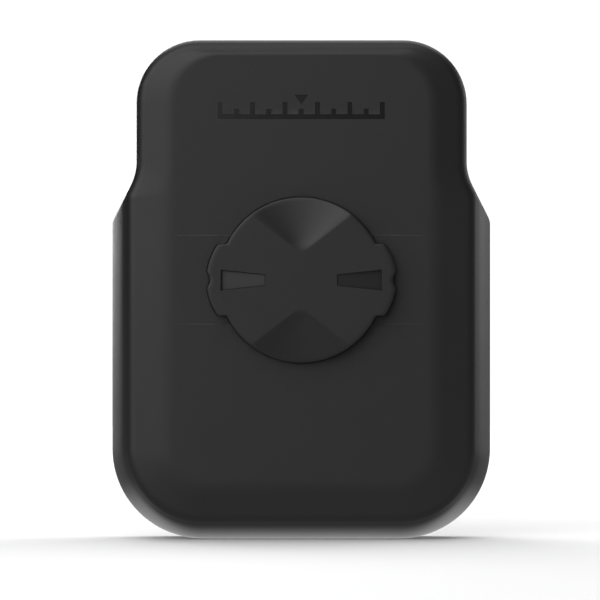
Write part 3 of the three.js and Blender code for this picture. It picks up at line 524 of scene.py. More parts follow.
# the window and the display get theirs further down
slotOfNode = {row["node"]: row["material_slot"] for row in frame["record"]["subparts"]}
for nodeName, obj in frame["nodes"].items():
    obj.data.materials.clear()
    obj.data.materials.append(materials.get(slotOfNode[nodeName], materials["chip_resin"]))
print("materials made:", len(materials))


mountLow, mountHigh = boxMm("quarter_turn_mount")
mount = {
    "height": 42.5,
    "face": depthOf(mountLow.y),
    "radius": 13.5,
    "earHalfHeight": 5.85,
    "earReach": mountHigh.x,
    "earArc": 10.0,
    "earThickness": 1.7,
    "notchRadius": 1.8,
    "notchDepth": 0.57,
    "edge": 0.26,
    "edgeShares": (1.0, 0.62, 0.34, 0.15, 0.04, 0.0),
    "underEdge": 0.12,
    "stemInset": (0.13, 0.3),
    "stemFoot": 0.25,
    "stemOverlap": 0.4,
    "valleyApex": 4.3,
    "valleySpread": 1.19,
    "valleyFall": 0.112,
    "valleyStart": 2.2,      # the valleys' points fade out over this length
    "valleyEase": (0.88, 1.12),      # the walls run out between these shares of the half-width
    "valleyEaseCurve": (1.9, 0.27),
    "slotInner": 5.95,
    "slotOuter": 13.0,
    "slotHalf": (0.8, 1.6),
    "slotDepth": (0.25, 0.9),
    "slotEdge": 0.12,
    "gap": 0.03,
    "softStep": 0.32,        # degrees between the angles that round the ears' corners
    "angleStep": 0.5,
    "closeStep": 0.2,
    # the notches and the ears' corners, with the reach of the closer steps
    "closeAngles": [(0, 6), (180, 6), (24.5, 4), (155.5, 4), (204.5, 4), (335.5, 4)],
}


def earRadius(angle):
    c, s = abs(math.cos(angle)), abs(math.sin(angle))
    centre = mount["earReach"] - mount["earArc"]
    reach = centre * c + math.sqrt(mount["earArc"] ** 2 - (centre * s) ** 2)
    reach = min(reach, mount["earHalfHeight"] / max(s, 1e-6))
    notch = mount["earReach"] - mount["notchDepth"] + mount["notchRadius"]
    inside = mount["notchRadius"] ** 2 - (notch * s) ** 2
    if inside > 0:
        reach = min(reach, notch * c - math.sqrt(inside))
    return max(mount["radius"], reach)


def softEarRadius(angle):
    # the corners are rounded by a weighted mean over neighbouring angles
    step = math.radians(mount["softStep"])
    weights = {k: 4 - abs(k) for k in range(-3, 4)}
    return sum(w * earRadius(angle + step * k) for k, w in weights.items()) / sum(weights.values())


rear = {
    "flareEnd": 7.4,         # depth where the case reaches its full width
    # section of the flare below the crown, as shares of its width and of its depth
    "flareSection": [(0.05, 0.027), (0.1, 0.055), (0.2, 0.118), (0.3, 0.195), (0.42, 0.302),
                     (0.54, 0.42), (0.66, 0.546), (0.77, 0.67), (0.87, 0.79), (0.94, 0.884),
                     (0.98, 0.95), (1.0, 1.0)],
    "flatInsets": (1.2, 0.4),        # rings that keep the flat of the back flat
    "bandRings": 14,
    "crownRings": 12,
    "rimRound": 0.12,
    "sealInset": 0.5,
    "sealWidth": 0.8,
    "sealDepth": 0.8,
    "insideKnee": 2.75,
}


def makeRearShell():
    fillet = back["crownFillet"]
    lean, turn = math.radians(back["crownLean"]), math.radians(back["crownTurn"])
    flat, crownStart = flatOutline(), backOutline(fillet * (1 - math.sin(lean)))
    # the border falls at one slope, so that it falls less where it is narrow
    falls = [back["crownDrop"] * min(1.0, (a - b).length / back["fallWidth"])
             for a, b in zip(flat, crownStart)]
    rings = [(flatOutline(inset), 0.0) for inset in rear["flatInsets"]]
    ease = back["ease"]
    slope = 1 / (1 - ease / 2)
    for i in range(rear["bandRings"]):
        t = i / rear["bandRings"]
        share = slope * t * t / (2 * ease) if t < ease else slope * (t - ease / 2)
        rings.append((between(flat, crownStart, t), [fall * share for fall in falls]))
    for i in range(rear["crownRings"] + 1):
        angle = lean + (turn - lean) * i / rear["crownRings"]
        inset = fillet * (1 - math.sin(angle))
        sunk = fillet * (math.cos(lean) - math.cos(angle))
        rings.append((backOutline(inset), [fall + sunk for fall in falls]))
    narrow, wide = backOutline(inset), fullOutline()
    for out, along in rear["flareSection"]:
        depths = [fall + sunk + along * (rear["flareEnd"] - fall - sunk) for fall in falls]
        rings.append((between(narrow, wide, out), depths))
    rim, edge = case["rearRim"], rear["rimRound"]
    rings += [(wide, rim - edge), (fullOutline(edge * 0.3), rim - edge * 0.3), (fullOutline(edge), rim)]
    sealFloor = rim - rear["sealDepth"]
    outer, inner = rear["sealInset"], rear["sealInset"] + rear["sealWidth"]
    rings += [(fullOutline(outer), rim), (fullOutline(outer), sealFloor), (fullOutline(inner), sealFloor),
              (fullOutline(inner), rim), (fullOutline(case["sideWall"]), rim),
              (backOutline(case["sideWall"]), rear["insideKnee"]),
              (backOutline(case["sideWall"] + back["crownFillet"] / 2), back["wall"])]
    return loft("rearShell", rings)


scale = {
    # a plain heading scale with a pointer stands where such cases carry a mark
    "centre": 70.8,
    "width": 27.3,
    "height": 4.0,
    "stroke": 0.8,
    "teeth": 11,
    "tall": 2.8,
    "short": 1.7,
    "pointerHalf": 1.15,
    "pointerReach": 1.6,
    "pocket": 0.15,
    "inlay": 0.07,
    "inlayGap": 0.02,
}


def combOutline(grow):
    half, stroke = scale["width"] / 2 + grow, scale["stroke"]
    low = scale["centre"] - scale["height"] / 2
    points = [Vector((-half, low - grow)), Vector((half, low - grow))]
    pitch = (scale["width"] - stroke) / (scale["teeth"] - 1)
    for i in range(scale["teeth"]):
        x = (scale["width"] - stroke) / 2 - i * pitch
        top = low + (scale["tall"] if i % 2 == 0 else scale["short"]) + grow
        right, left = x + stroke / 2 + grow, x - stroke / 2 - grow
        if i > 0:
            points.append(Vector((right, low + stroke + grow)))
        points += [Vector((right, top)), Vector((left, top))]
        if i < scale["teeth"] - 1:
            points.append(Vector((left, low + stroke + grow)))
    return points


def pointerOutline(grow):
    top = scale["centre"] + scale["height"] / 2 + grow
    half, reach = scale["pointerHalf"] + grow, scale["pointerReach"] * (1 + grow)
    return [Vector((0, top - reach)), Vector((half, top)), Vector((-half, top))]


def makeScaleInlay():
    gap = scale["inlayGap"]
    depths = (scale["inlay"], scale["pocket"] + gap)
    return joined("scaleInlay", [prism("comb", combOutline(-gap), *depths),
                                 prism("pointer", pointerOutline(-gap), *depths)])


ridges = {
    "centre": 42.5,
    "half": 7.25,
    "from": 11.0,
    "to": 20.4,
    "width": 0.34,
    "top": 0.1,
    "rise": 0.035,
    "root": 0.04,
    # height left at each share of the length
    "fade": [(0, 1.0), (0.6, 1.0), (0.85, 0.6), (1, 0.05)],
}


def makeReliefLines():
    # four faint ridges beside the mount, running out to nothing
    lines = []
    half, top = ridges["width"] / 2, ridges["top"] / 2
    for side in (-1, 1):
        for z in (ridges["centre"] - ridges["half"], ridges["centre"] + ridges["half"]):
            rings = []
            for share, tall in ridges["fade"]:
                x = side * (ridges["from"] + share * (ridges["to"] - ridges["from"]))
                rise, root = ridges["rise"] * tall, ridges["root"]
                section = [(root, z - half), (-rise, z - top), (-rise, z + top), (root, z + half)]
                rings.append(([Vector(point) for point in section], x))
            lines.append(loft("ridge", rings, spotAcross))
    return joined("reliefLines", lines)


groove = {"inner": 0.32, "outer": 0.2, "depth": 0.4, "points": 480}


def makeGroove():
    # a fine channel in the cover all round the mount
    def ring(grow):
        centre = Vector((0, mount["height"]))
        turns = [2 * math.pi * k / groove["points"] for k in range(groove["points"])]
        return [centre + Vector((math.cos(a), math.sin(a))) * (softEarRadius(a) + grow) for a in turns]

    outer = prism("groove", ring(groove["outer"]), -past, groove["depth"])
    return boolean(outer, [prism("core", ring(-groove["inner"]), -2 * past, 2 * past)], "DIFFERENCE")


rearShell = makeRearShell()
boolean(rearShell, [makeGroove()], "DIFFERENCE")
boolean(rearShell, [prism("combCut", combOutline(0), -past, scale["pocket"]),
                    prism("pointerCut", pointerOutline(0), -past, scale["pocket"])], "DIFFERENCE")
finishPiece(rearShell, "case", materials["case_plastic"], ["rear_cover"])
finishPiece(makeScaleInlay(), "case", materials["symbol_gloss"])
finishPiece(makeReliefLines(), "case", materials["case_plastic"])
print("rear shell:", len(rearShell.data.polygons), "faces")


def valleyDepth(x, z):
    beyond = abs(z) - mount["valleyApex"]
    if beyond <= 0:
        return 0.0
    t = abs(x) / (beyond * mount["valleySpread"])
    easeStart, easeEnd = mount["valleyEase"]
    if t >= easeEnd:
        return 0.0
    profile = 1 - t * t      # a parabola across the valley, which eases out at its edges
    if t >= easeStart:
        left, (top, spread) = easeEnd - t, mount["valleyEaseCurve"]
        profile = (1 - easeStart ** 2) * (left / (easeEnd - easeStart)) ** 2 * (top - left / spread)
    start = min(beyond / mount["valleyStart"], 1.0)
    return mount["valleyFall"] * beyond * max(profile, 0.0) * start * start * (3 - 2 * start)


def mountAngles():
    # half a degree apart, and closer at the notches and at the ears' corners
    degrees = {k * mount["angleStep"] for k in range(round(360 / mount["angleStep"]))}
    for centre, reach in mount["closeAngles"]:
        steps = round(reach / mount["closeStep"])
        degrees |= {round((centre + mount["closeStep"] * k) % 360, 3) for k in range(-steps, steps + 1)}
    return [math.radians(a) for a in sorted(degrees)]


def makeMount():
    angles = mountAngles()
    edge = mount["edge"]
    insets = [edge * share for share in mount["edgeShares"]]
    count = len(angles)
    verts, faces = [spot(0, mount["face"], mount["height"])], []
    # rings across the face, close together where the valleys are
    shares = [0.04, 0.1, 0.17, 0.24, 0.31] + [0.35 + 0.63 * k / 34 for k in range(34)]

    def addRing(distance, extra, valley=True):
        for angle in angles:
            r = distance(softEarRadius(angle))
            x, z = r * math.cos(angle), r * math.sin(angle)
            depth = mount["face"] + extra + (valleyDepth(x, z) if valley else 0)
            verts.append(spot(x, depth, mount["height"] + z))

    for share in shares:
        addRing(lambda r: (r - edge) * share, 0.0)
    for inset in insets:
        addRing(lambda r: r - inset, edge - math.sqrt(edge ** 2 - (edge - inset) ** 2))
    addRing(lambda r: r, mount["earThickness"] - mount["underEdge"], False)
    addRing(lambda r: r - mount["underEdge"], mount["earThickness"], False)
    rings = len(shares) + len(insets) + 2
    for j in range(count):
        faces.append((0, 1 + j, 1 + (j + 1) % count))
    for ring in range(rings - 1):
        for j in range(count):
            a, b = 1 + ring * count + j, 1 + ring * count + (j + 1) % count
            faces.append((a, a + count, b + count, b))
    faces.append(tuple(1 + (rings - 1) * count + j for j in range(count)))
    plate = newObject("mountPlate", verts, faces)
    under = mount["face"] + mount["earThickness"] - mount["stemOverlap"]
    shaft, foot = (circle(0, mount["height"], mount["radius"] - inset, 180) for inset in mount["stemInset"])
    stem = loft("mountStem", [(shaft, under), (shaft, -mount["stemFoot"]), (foot, -mount["gap"])])
    boolean(plate, [stem], "UNION")
    boolean(plate, [makeSlotCut(side) for side in (-1, 1)], "DIFFERENCE")
    return plate


def makeSlotCut(side):
    inner, outer = mount["slotInner"], mount["slotOuter"]
    innerHalf, outerHalf = mount["slotHalf"]
    face, edge = mount["face"], mount["slotEdge"]

    def ring(grow):
        corners = [(inner - grow, -innerHalf - grow), (outer + grow, -outerHalf - grow),
                   (outer + grow, outerHalf + grow), (inner - grow, innerHalf + grow)]
        return [Vector((side * x, mount["height"] + z)) for x, z in corners]

    floor = [face + mount["slotDepth"][0], face + mount["slotDepth"][1],
             face + mount["slotDepth"][1], face + mount["slotDepth"][0]]
    return loft("slotCut", [(ring(0), floor), (ring(0), face + edge), (ring(edge), face),
                            (ring(edge * 1.6), face - past / 2)])


mountPiece = finishPiece(makeMount(), "case", materials["mount_plastic"],
                         ["quarter_turn_mount"], sharp=28)
mountPiece.name = "quarterTurnMount"
print("mount:", len(mountPiece.data.polygons), "faces")


front = {
    "fillet": 2.5,
    "filletSteps": 10,
    "rimEdge": 0.12,
    "rimMiddle": 0.035,
    "wall": 2.2,
    "insideChamfer": 1.3,
    "edge": 0.18,            # small round on the rims of the openings
    "windowRadius": 4.0,
    "windowGap": 0.2,
    "ledge": 1.7,
    "keyGap": 0.35,
    "rockerGap": 0.55,
    "screwBore": 1.7,
    "lightGap": 0.08,
    "pocketGap": 0.08,       # under the window's pane
}


def makeFrontBody():
    rim, face = case["frontRim"], case["front"]
    edge, soft = front["rimEdge"], front["rimMiddle"]
    rings = [(fullOutline(edge), rim), (fullOutline(soft), rim + soft), (fullOutline(), rim + edge),
             (fullOutline(), face - front["fillet"])]
    rings += [(fullOutline(inset), face - sink)
              for inset, sink in quarterRound(front["fillet"], front["filletSteps"])]
    body = loft("frontShell", rings)
    inside, chamfer = face - front["wall"], front["insideChamfer"]
    cavity = loft("cavity", [(fullOutline(case["sideWall"]), rim - past),
                             (fullOutline(case["sideWall"]), inside - chamfer),
                             (fullOutline(case["sideWall"] + chamfer), inside)])
    return boolean(body, [cavity], "DIFFERENCE")


def softCut(name, outlineOf, face, floor):
    # an opening with a small round on its rim; outlineOf gives the outline grown by a distance
    edge = front["edge"]
    return loft(name, [(outlineOf(0), floor), (outlineOf(0), face - edge),
                       (outlineOf(edge * 0.3), face - edge * 0.3), (outlineOf(edge), face),
                       (outlineOf(edge), face + past)])


keyNodes = {"nearest": "nearest_key", "menu": "menu_key", "direct": "direct_key", "page": "page_key"}
keys = {
    "width": 9.6,
    "height": 4.8,
    "round": 0.42,
    "dome": 0.12,
    "capSteps": 6,
    # rings inside the round: inset from it, and share of the dome still to rise
    "domeRings": [(0.315, 0.721), (0.7, 0.38), (1.12, 0.008)],
    "glyph": 0.62,           # stroke of the raised signs
    "signRoot": 0.3,
    "signProud": 0.02,
    "sunk": 1.9,
}
rocker = {
    "radius": 7.6,
    "hole": 3.5,
    "rim": 0.5,              # round on its outer edge
    "dish": 0.3,
    "lip": 0.25,             # the dish turns down into the hole over this width
    "under": 1.4,
    "arrow": [(0, 6.75), (-0.85, 5.65), (0.85, 5.65)],
    "arrowRoot": 0.5,
    "arrowSunk": 0.02,
}
enter = {
    "radius": 2.9,
    "rim": 0.4,
    "dome": 0.18,
    "under": 1.6,
}
power = {
    "width": 11.0,
    "height": 3.4,
    "holeDepth": 4.0,
    "edge": [(0, 2.2), (0, 0.35), (0.05, 0.16), (0.16, 0.05), (0.35, 0.0)],      # inset and drop
    "signOuter": 1.0,
    "signInner": 0.66,
    "signFrom": -50,         # the ring of the sign is open between these two bearings
    "signTo": 230,
    "bar": (0.34, 1.1, 0.12),        # width, length and corner radius
    "barAt": -0.75,
    "signProud": 0.012,
}
port = {
    "depth": 11.65,
    "height": 36.0,
    "width": 4.7,
    "length": 16.0,
    "corner": 0.9,
    "thickness": 1.0,
    "gap": 0.2,
    "room": 0.25,
    "mouth": (9.4, 3.6),
    "mouthDepth": 3.0,
}
screws = {
    "head": 1.5,
    "cap": 1.1,
    "sunk": 1.2,
    "shaft": 0.95,
    "tip": 0.6,
    "drive": 0.32,
    "driveReach": 0.85,
    "driveDepth": 0.6,
    "seatGap": 0.05,
}


def makeFrontShell():
    face = case["front"]
    through = face - front["wall"] - past
    body = makeFrontBody()
    cuts = []
    low, high = boxMm("display_window")
    centre, width, height = middle(low, high), high.x - low.x, high.z - low.z
    radius, gap = front["windowRadius"], front["windowGap"]

    def windowOutline(grow):
        return roundedBox(centre.x, centre.z, width + 2 * (gap + grow), height + 2 * (gap + grow),
                          radius + gap + grow, 10)

    pocket = depthOf(low.y) - front["pocketGap"]
    cuts.append(softCut("windowPocket", windowOutline, face, pocket))
    ledge = front["ledge"]
    sight = roundedBox(centre.x, centre.z, width - 2 * ledge, height - 2 * ledge, radius - ledge, 8)
    sightCut = prism("sight", sight, through, pocket + past / 2)
    for node in keyNodes.values():
        low, high = boxMm(node)
        place = middle(low, high)
        size = (keys["width"] + 2 * front["keyGap"], keys["height"] + 2 * front["keyGap"])
        cuts.append(softCut("keyCut", lambda g: stadium(place.x, place.z, size[0] + 2 * g, size[1] + 2 * g),
                            face, through))
    rockerAt = middle(*boxMm("rocker_ring"))
    rockerHole = rocker["radius"] + front["rockerGap"]
    cuts.append(softCut("rockerCut", lambda g: circle(0, rockerAt.z, rockerHole + g, 96), face, through))
    low, high = boxMm("status_light")
    lightAt, lightRadius = middle(low, high), (high.z - low.z) / 2 + front["lightGap"]
    cuts.append(softCut("lightCut", lambda g: circle(0, lightAt.z, lightRadius + g, 32), face, through))
    for i in range(1, 5):
        place = middle(*boxMm(f"case_screw_{i}"))
        seat = face - screws["sunk"] - screws["cap"] - screws["seatGap"]
        cuts.append(softCut("screwCut", lambda g: circle(place.x, place.z, front["screwBore"] + g, 40),
                            face, seat))
    boolean(body, [joined("frontCuts", cuts)], "DIFFERENCE")
    boolean(body, [sightCut], "DIFFERENCE")
    cutSides(body)
    return body


def cutSides(body):
    # the power button's opening on top, and the port behind its door
    low, high = boxMm("power_button")
    place = middle(low, high)
    size = (power["width"] + 2 * front["keyGap"], power["height"] + 2 * front["keyGap"])
    outline = stadium(place.x, depthOf(place.y), *size)
    low, high = case["height"] - power["holeDepth"], case["height"] + past
    boolean(body, [prism("powerCut", outline, low, high, spotUp)], "DIFFERENCE")
    pocket = roundedBox(port["depth"], port["height"], port["width"] + 2 * port["gap"],
                        port["length"] + 2 * port["gap"], port["corner"], 6)
    floor = case["width"] / 2 - port["thickness"] - port["room"]
    side = case["width"] / 2 + past
    boolean(body, [prism("doorCut", pocket, floor, side, spotAcross)], "DIFFERENCE")
    mouth = stadium(port["depth"], port["height"], port["mouth"][1], port["mouth"][0])
    mouthEnds = (floor - port["mouthDepth"], floor + past)
    boolean(body, [prism("mouthCut", mouth, *mouthEnds, spotAcross)], "DIFFERENCE")


frontShell = finishPiece(makeFrontShell(), "case", materials["case_plastic"],
                         ["front_housing"])
print("front shell:", len(frontShell.data.polygons), "faces")


def capRings(outlineOf, face, proud, roundOff, dome, under):
    # a moulded cap: straight sides, rounded rim, faintly domed top
    top = face + proud
    rings = [(outlineOf(0), face - under), (outlineOf(0), top - roundOff - dome)]
    for inset, sink in quarterRound(roundOff, keys["capSteps"]):
        rings.append((outlineOf(-inset), top - dome - sink))
    rings += [(outlineOf(-roundOff - inset), top - dome * share) for inset, share in keys["domeRings"]]
    return rings


def glyphShapes(kind, x, z):
    # raised signs: bars for the menu, a sheet for the page, an arrow for direct, a target for nearest
    stroke = keys["glyph"]
    if kind == "menu":
        return [roundedBox(x, z + dz, 3.6, stroke, stroke / 2 - 0.01, 4) for dz in (-1.0, 0.0, 1.0)]
    if kind == "page":
        return [roundedBox(x - 0.45, z + 0.3, 2.2, 2.4, 0.3, 4),
                roundedBox(x + 1.35, z - 0.45, 0.6, 1.9, 0.2, 4)]
    if kind == "direct":
        shaft = roundedBox(x - 0.85, z, 2.1, stroke, 0.2, 3)
        head = [Vector((x + 2.0, z)), Vector((x + 0.45, z + 1.15)), Vector((x + 0.45, z - 1.15))]
        return [shaft, head]
    return [circle(x, z, 0.62, 24), roundedBox(x - 1.85, z, 1.3, stroke, 0.2, 3),
            roundedBox(x + 1.85, z, 1.3, stroke, 0.2, 3)]


for kind, node in keyNodes.items():
    place = middle(*boxMm(node))
    topDepth = depthOf(boxMm(node)[1].y)

    def keyOutline(grow, place=place):
        return stadium(place.x, place.z, keys["width"] + 2 * grow, keys["height"] + 2 * grow)

    proud = topDepth - case["front"]
    cap = loft(kind + "Cap", capRings(keyOutline, case["front"], proud, keys["round"], keys["dome"],
                                      keys["sunk"]))
    finishPiece(cap, kind, materials["key_rubber"], [node])
    signs = [prism("sign", shape, topDepth - keys["signRoot"], topDepth + keys["signProud"])
             for shape in glyphShapes(kind, place.x, place.z)]
    finishPiece(joined(kind + "Sign", signs), kind, materials["print_white"])


def makeRocker():
    at = middle(*boxMm("rocker_ring"))
    top = depthOf(boxMm("rocker_ring")[1].y)
    outer, hole, dish = rocker["radius"], rocker["hole"], rocker["dish"]
    rim, lip = rocker["rim"], rocker["lip"]
    profile = [(outer, top - rocker["under"]), (outer, top - rim)]
    profile += [(outer - inset, top - sink) for inset, sink in quarterRound(rim, keys["capSteps"])]
    span = outer - rim - hole - lip
    profile += [(outer - rim - span * k / 8, top - dish * math.sin(math.pi * k / 16)) for k in range(1, 9)]
    profile += [(hole + 0.08, top - dish - 0.07), (hole, top - dish - lip), (hole, top - rocker["under"])]
    ring = turned("rockerRing", profile, at.x, at.z, 96)
    marks = []
    for k in range(4):
        turn = Matrix.Rotation(math.pi / 2 * k, 2)
        outline = [Vector((at.x, at.z)) + turn @ Vector(point) for point in rocker["arrow"]]
        marks.append(prism("arrow", outline, top - rocker["arrowRoot"], top - rocker["arrowSunk"]))
    return ring, joined("rockerArrows", marks)


ring, arrows = makeRocker()
finishPiece(ring, "rocker", materials["key_rubber"], ["rocker_ring"])
finishPiece(arrows, "rocker", materials["print_white"])


def makeEnter():
    at, top = middle(*boxMm("enter_key")), depthOf(boxMm("enter_key")[1].y)
    radius, rim, dome = enter["radius"], enter["rim"], enter["dome"]
    profile = [(0, top - enter["under"]), (radius, top - enter["under"]), (radius, top - rim - dome)]
    profile += [(radius - inset, top - dome - sink) for inset, sink in quarterRound(rim, keys["capSteps"])]
    inner = radius - rim
    profile += [(inner * k, top - dome * k * k) for k in (0.8, 0.6, 0.4, 0.2)] + [(0, top)]
    return turned("enterCap", profile, at.x, at.z, 64)


finishPiece(makeEnter(), "enter", materials["key_rubber"], ["enter_key"])


def makePower():
    low, high = boxMm("power_button")
    x, depth, top = middle(low, high).x, depthOf(middle(low, high).y), high.z
    rings = []
    for inset, drop in power["edge"]:
        size = (power["width"] - 2 * inset, power["height"] - 2 * inset)
        rings.append((stadium(x, depth, *size), top - drop))
    button = loft("powerButton", rings, spotUp)
    bearings = [math.radians(v) for v in range(power["signFrom"], power["signTo"] + 1, 10)]
    spokes = [Vector((math.cos(a), math.sin(a))) for a in bearings]
    at = Vector((x, depth))
    arc = [at + spoke * power["signOuter"] for spoke in spokes]
    arc += [at + spoke * power["signInner"] for spoke in reversed(spokes)]
    width, length, corner = power["bar"]
    bar = roundedBox(x, depth + power["barAt"], width, length, corner, 3)
    root, proud = top - keys["signRoot"], top + power["signProud"]
    signs = [prism("powerSign", outline, root, proud, spotUp) for outline in (arc, bar)]
    return button, joined("powerSign", signs)


button, sign = makePower()
finishPiece(button, "power", materials["key_rubber"], ["power_button"])
finishPiece(sign, "power", materials["print_white"])
print("keys made")


def makeCaseScrew(index):
    low, high = boxMm(f"case_screw_{index}")
    at, end, top = middle(low, high), depthOf(low.y), depthOf(high.y)
    seat = top - screws["cap"]
    shaft, head = screws["shaft"], screws["head"]
    # from the tip up the shaft, and round the head's soft edge
    profile = [(0, end), (shaft / 2, end), (shaft, end + screws["tip"]), (shaft, seat), (head - 0.12, seat),
               (head, seat + 0.12), (head, top - 0.35), (head - 0.1, top - 0.12), (head - 0.32, top),
               (0, top)]
    screw = turned(f"caseScrew{index}", profile, at.x, at.z, 40)
    reach, half, depth = screws["driveReach"], screws["drive"] / 2, screws["driveDepth"]
    for wide, tall in ((reach, half), (half, reach)):
        slot = slabBox("slot", (at.x - wide, top - depth, at.z - tall),
                       (at.x + wide, top + past, at.z + tall))
        boolean(screw, [slot], "DIFFERENCE")
    return screw


for index in range(1, 5):
    finishPiece(makeCaseScrew(index), "case", materials["screw_steel"],
                [f"case_screw_{index}"])
print("screws made")


glassLook = {"colour": (0.9, 0.92, 0.91), "tone": 0.01, "roughness": 0.03, "gloss": 0.03, "cells": 2000.0,
             "bump": 0.02, "relief": 0.001, "plain": {"Transmission Weight": 1.0, "IOR": 1.47}}
window = {"backEdge": 0.1, "edge": 0.12, "edgeMiddle": 0.035}


def makeWindow():
    low, high = boxMm("display_window")
    centre, width, height = middle(low, high), high.x - low.x, high.z - low.z
    near, far, radius = depthOf(low.y), depthOf(high.y), front["windowRadius"]
    behind, soft, edge = window["backEdge"], window["edgeMiddle"], window["edge"]
    steps = ((behind, near), (0, near + behind), (0, far - edge), (soft, far - soft), (edge, far))
    rings = [(roundedBox(centre.x, centre.z, width - 2 * i, height - 2 * i, radius - i, 10), d)
             for i, d in steps]
    return loft("windowPane", rings)


finishPiece(makeWindow(), "case", makeMaterial("window_glass", glassLook),
            ["display_window"])


display = {
    "rose": 13.6,
    "ticks": 36,
    "longTick": 2.0,
    "shortTick": 1.0,
    "line": 0.22,
    "course": (0.15, 18),            # half-width and half-length of the course line
    "arrow": [(0, 2.6), (-1.9, -2.2), (0, -1.1), (1.9, -2.2)],
    "root": 0.05,
    "proud": 0.03,
    "arrowProud": 0.06,
}


def makeDisplayPicture():
    # a still, unlettered page: a compass rose, a course line and a small arrowhead
    low, high = boxMm("display_panel")
    centre, face = middle(low, high), depthOf(high.y)
    at = Vector((centre.x, centre.z))
    depths = (face - display["root"], face + display["proud"])
    parts = []
    for k in range(display["ticks"]):
        angle = 2 * math.pi * k / display["ticks"]
        outer = display["rose"]
        inner = outer - (display["longTick"] if k % 3 == 0 else display["shortTick"])
        across = Vector((-math.sin(angle), math.cos(angle))) * display["line"] / 2
        along = Vector((math.cos(angle), math.sin(angle)))
        quad = [at + along * inner - across, at + along * outer - across,
                at + along * outer + across, at + along * inner + across]
        parts.append(prism("tick", quad, *depths))
    half, reach = display["course"]
    corners = ((-half, -reach), (half, -reach), (half, reach), (-half, reach))
    parts.append(prism("course", [at + Vector(corner) for corner in corners], *depths))
    arrow = [at + Vector(corner) for corner in display["arrow"]]
    parts.append(prism("arrow", arrow, depths[0], face + display["arrowProud"]))
    return joined("displayPicture", parts)


panelLook = {"colour": (0.018, 0.03, 0.045), "tone": 0.08, "roughness": 0.22, "gloss": 0.05, "cells": 4000.0,
             "bump": 0.1, "relief": 0.002}
frame["nodes"]["display_panel"].data.materials[0] = makeMaterial("display_film", panelLook)
finishPiece(makeDisplayPicture(), "case", materials["print_white"])
print("window and display made")


view = {
    # metres, but for the sensor, which is in millimetres
    "distance": 0.9,
    "across": -0.0002,
    "height": 0.03925,       # the camera looks level, a little below the middle of the case
    "seen": 0.0988,          # width that fills the picture at the case's edge
    "sensor": 36.0,
}


def makeCamera():
    data = bpy.data.cameras.new("mainCamera")
    camera = bpy.data.objects.new("mainCamera", data)
    bpy.context.scene.collection.objects.link(camera)
    edgeY = spot(0, rear["flareEnd"], 0).y
    camera.location = (view["across"], edgeY - view["distance"], view["height"])
    camera.rotation_euler = (math.radians(90), 0, 0)
    data.sensor_width = view["sensor"]
    data.lens = view["sensor"] * view["distance"] / view["seen"]
    data.clip_start = 0.01
    data.clip_end = 20
    bpy.context.scene.camera = camera


floorLook = {
    # lengths are in metres
    "size": 1.6,
    "level": -0.00002,
    "paper": (0.885, 0.885, 0.885),
    "paperGlow": 0.03,
    # underGlow and farGlow are a hidden glow of the floor, unseen by the camera, that paints a bright
    # reflection on the case's lower edges
    "underGlow": 1.65,       # light that the case picks up from the floor close under it
    "farGlow": 0.36,         # and from the rest of the floor
    # where the glow under the case fades, to the sides, in front and behind
    "sideReach": (0.022, 0.05),
    "frontReach": (-0.0042, 0.0006),
    "backReach": (0.02, 0.05),
}


def addFade(tree, value, reach, ends):
    fade = tree.nodes.new("ShaderNodeMapRange")
    fade.interpolation_type = "SMOOTHSTEP"
    tree.links.new(value, fade.inputs["Value"])
    for label, number in zip(("From Min", "From Max", "To Min", "To Max"), (*reach, *ends)):
        fade.inputs[label].default_value = number
    return fade.outputs[0]


def makeFloor():
    half = floorLook["size"] / 2
    corners = ((-half, -half), (half, -half), (half, half), (-half, half))
    floor = newObject("floor", [Vector((x, y, floorLook["level"])) for x, y in corners], [(0, 1, 2, 3)])
    material = bpy.data.materials.new("floorPaper")
    material.use_nodes = True
    tree = material.node_tree
    tree.nodes.remove(tree.nodes["Principled BSDF"])
    paper = tree.nodes.new("ShaderNodeBsdfDiffuse")
    paper.inputs["Color"].default_value = (*floorLook["paper"], 1.0)
    glow, hiddenGlow = (tree.nodes.new("ShaderNodeEmission") for _ in range(2))
    glow.inputs["Strength"].default_value = floorLook["paperGlow"]
    bright = tree.nodes.new("ShaderNodeAddShader")
    tree.links.new(paper.outputs[0], bright.inputs[0])
    tree.links.new(glow.outputs[0], bright.inputs[1])
    # towards the case the floor glows, brightest right under it, but only for light that bounces onto the
    # case: the camera sees plain paper. This hidden glow is no lamp; it paints a bright reflection on the
    # case's lower edges
    place = tree.nodes.new("ShaderNodeSeparateXYZ")
    tree.links.new(objectCoordinates(tree), place.inputs[0])
    sideways = addMath(tree, "ABSOLUTE", place.outputs["X"])
    across = addFade(tree, sideways, floorLook["sideReach"], (1, 0))
    forward = addFade(tree, place.outputs["Y"], floorLook["frontReach"], (0, 1))
    behind = addFade(tree, place.outputs["Y"], floorLook["backReach"], (1, 0))
    under = addMath(tree, "MULTIPLY", across, addMath(tree, "MULTIPLY", forward, behind))
    extra = addMath(tree, "MULTIPLY", under, floorLook["underGlow"])
    tree.links.new(addMath(tree, "ADD", extra, floorLook["farGlow"]), hiddenGlow.inputs["Strength"])
    path = tree.nodes.new("ShaderNodeLightPath")
    mix = tree.nodes.new("ShaderNodeMixShader")
    tree.links.new(path.outputs["Is Camera Ray"], mix.inputs[0])
    tree.links.new(hiddenGlow.outputs[0], mix.inputs[1])
    tree.links.new(bright.outputs[0], mix.inputs[2])
    tree.links.new(mix.outputs[0], tree.nodes["Material Output"].inputs["Surface"])
    floor.data.materials.append(material)


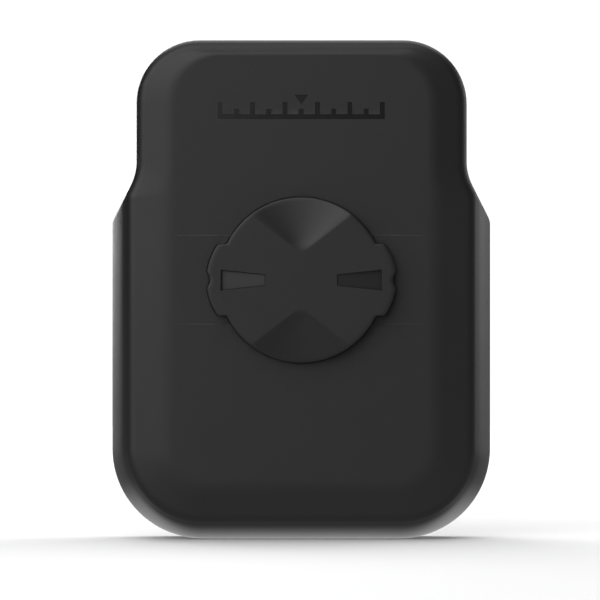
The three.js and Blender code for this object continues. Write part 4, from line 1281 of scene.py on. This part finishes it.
# turn is the bearing from straight behind the case towards its left, rise is the height angle;
# away and size are in metres
lamps = {
    "overhead": {"turn": 180, "rise": 66, "away": 1.2, "size": (1.7, 1.1), "radiance": 2.4},
    "frontTop": {"turn": 0, "rise": 58, "away": 1.2, "size": (0.9, 0.6), "radiance": 1.35},
    "key": {"turn": 30, "rise": 24, "away": 1.3, "size": (1.4, 1.2), "radiance": 1.9},
    "leftBack": {"turn": 158, "rise": 14, "away": 1.2, "size": (0.7, 0.6), "radiance": 5.0},
    "rightBack": {"turn": -118, "rise": 14, "away": 1.2, "size": (1.1, 0.6), "radiance": 1.7},
}


def makeLamps():
    aim = Vector((0, 0, case["height"] / 2)) * mm
    for name, lamp in lamps.items():
        turn, rise = math.radians(lamp["turn"]), math.radians(lamp["rise"])
        toward = Vector((-math.sin(turn) * math.cos(rise), -math.cos(turn) * math.cos(rise), math.sin(rise)))
        data = bpy.data.lights.new(name, "AREA")
        data.shape = "RECTANGLE"
        data.size, data.size_y = lamp["size"]
        data.energy = lamp["radiance"] * math.pi * data.size * data.size_y
        obj = bpy.data.objects.new(name, data)
        bpy.context.scene.collection.objects.link(obj)
        obj.location = aim + toward * lamp["away"]
        obj.rotation_euler = (-toward).to_track_quat("-Z", "Y").to_euler()
        obj.visible_camera = False


studio = {"around": 0.09, "backdrop": 1.1}


def makeWorld():
    # a dim white room, in front of a bright white backdrop
    world = bpy.data.worlds.new("studio")
    bpy.context.scene.world = world
    world.use_nodes = True
    tree = world.node_tree
    plain = tree.nodes["Background"]
    plain.inputs["Color"].default_value = (1, 1, 1, 1)
    plain.inputs["Strength"].default_value = studio["around"]
    seen = tree.nodes.new("ShaderNodeBackground")
    seen.inputs["Color"].default_value = (1, 1, 1, 1)
    seen.inputs["Strength"].default_value = studio["backdrop"]
    path = tree.nodes.new("ShaderNodeLightPath")
    mix = tree.nodes.new("ShaderNodeMixShader")
    tree.links.new(path.outputs["Is Camera Ray"], mix.inputs[0])
    tree.links.new(plain.outputs[0], mix.inputs[1])
    tree.links.new(seen.outputs[0], mix.inputs[2])
    tree.links.new(mix.outputs[0], tree.nodes["World Output"].inputs["Surface"])


makeCamera()
makeFloor()
makeLamps()
makeWorld()
bpy.context.scene.view_settings.view_transform = "Standard"
print("camera, floor and lights in place")
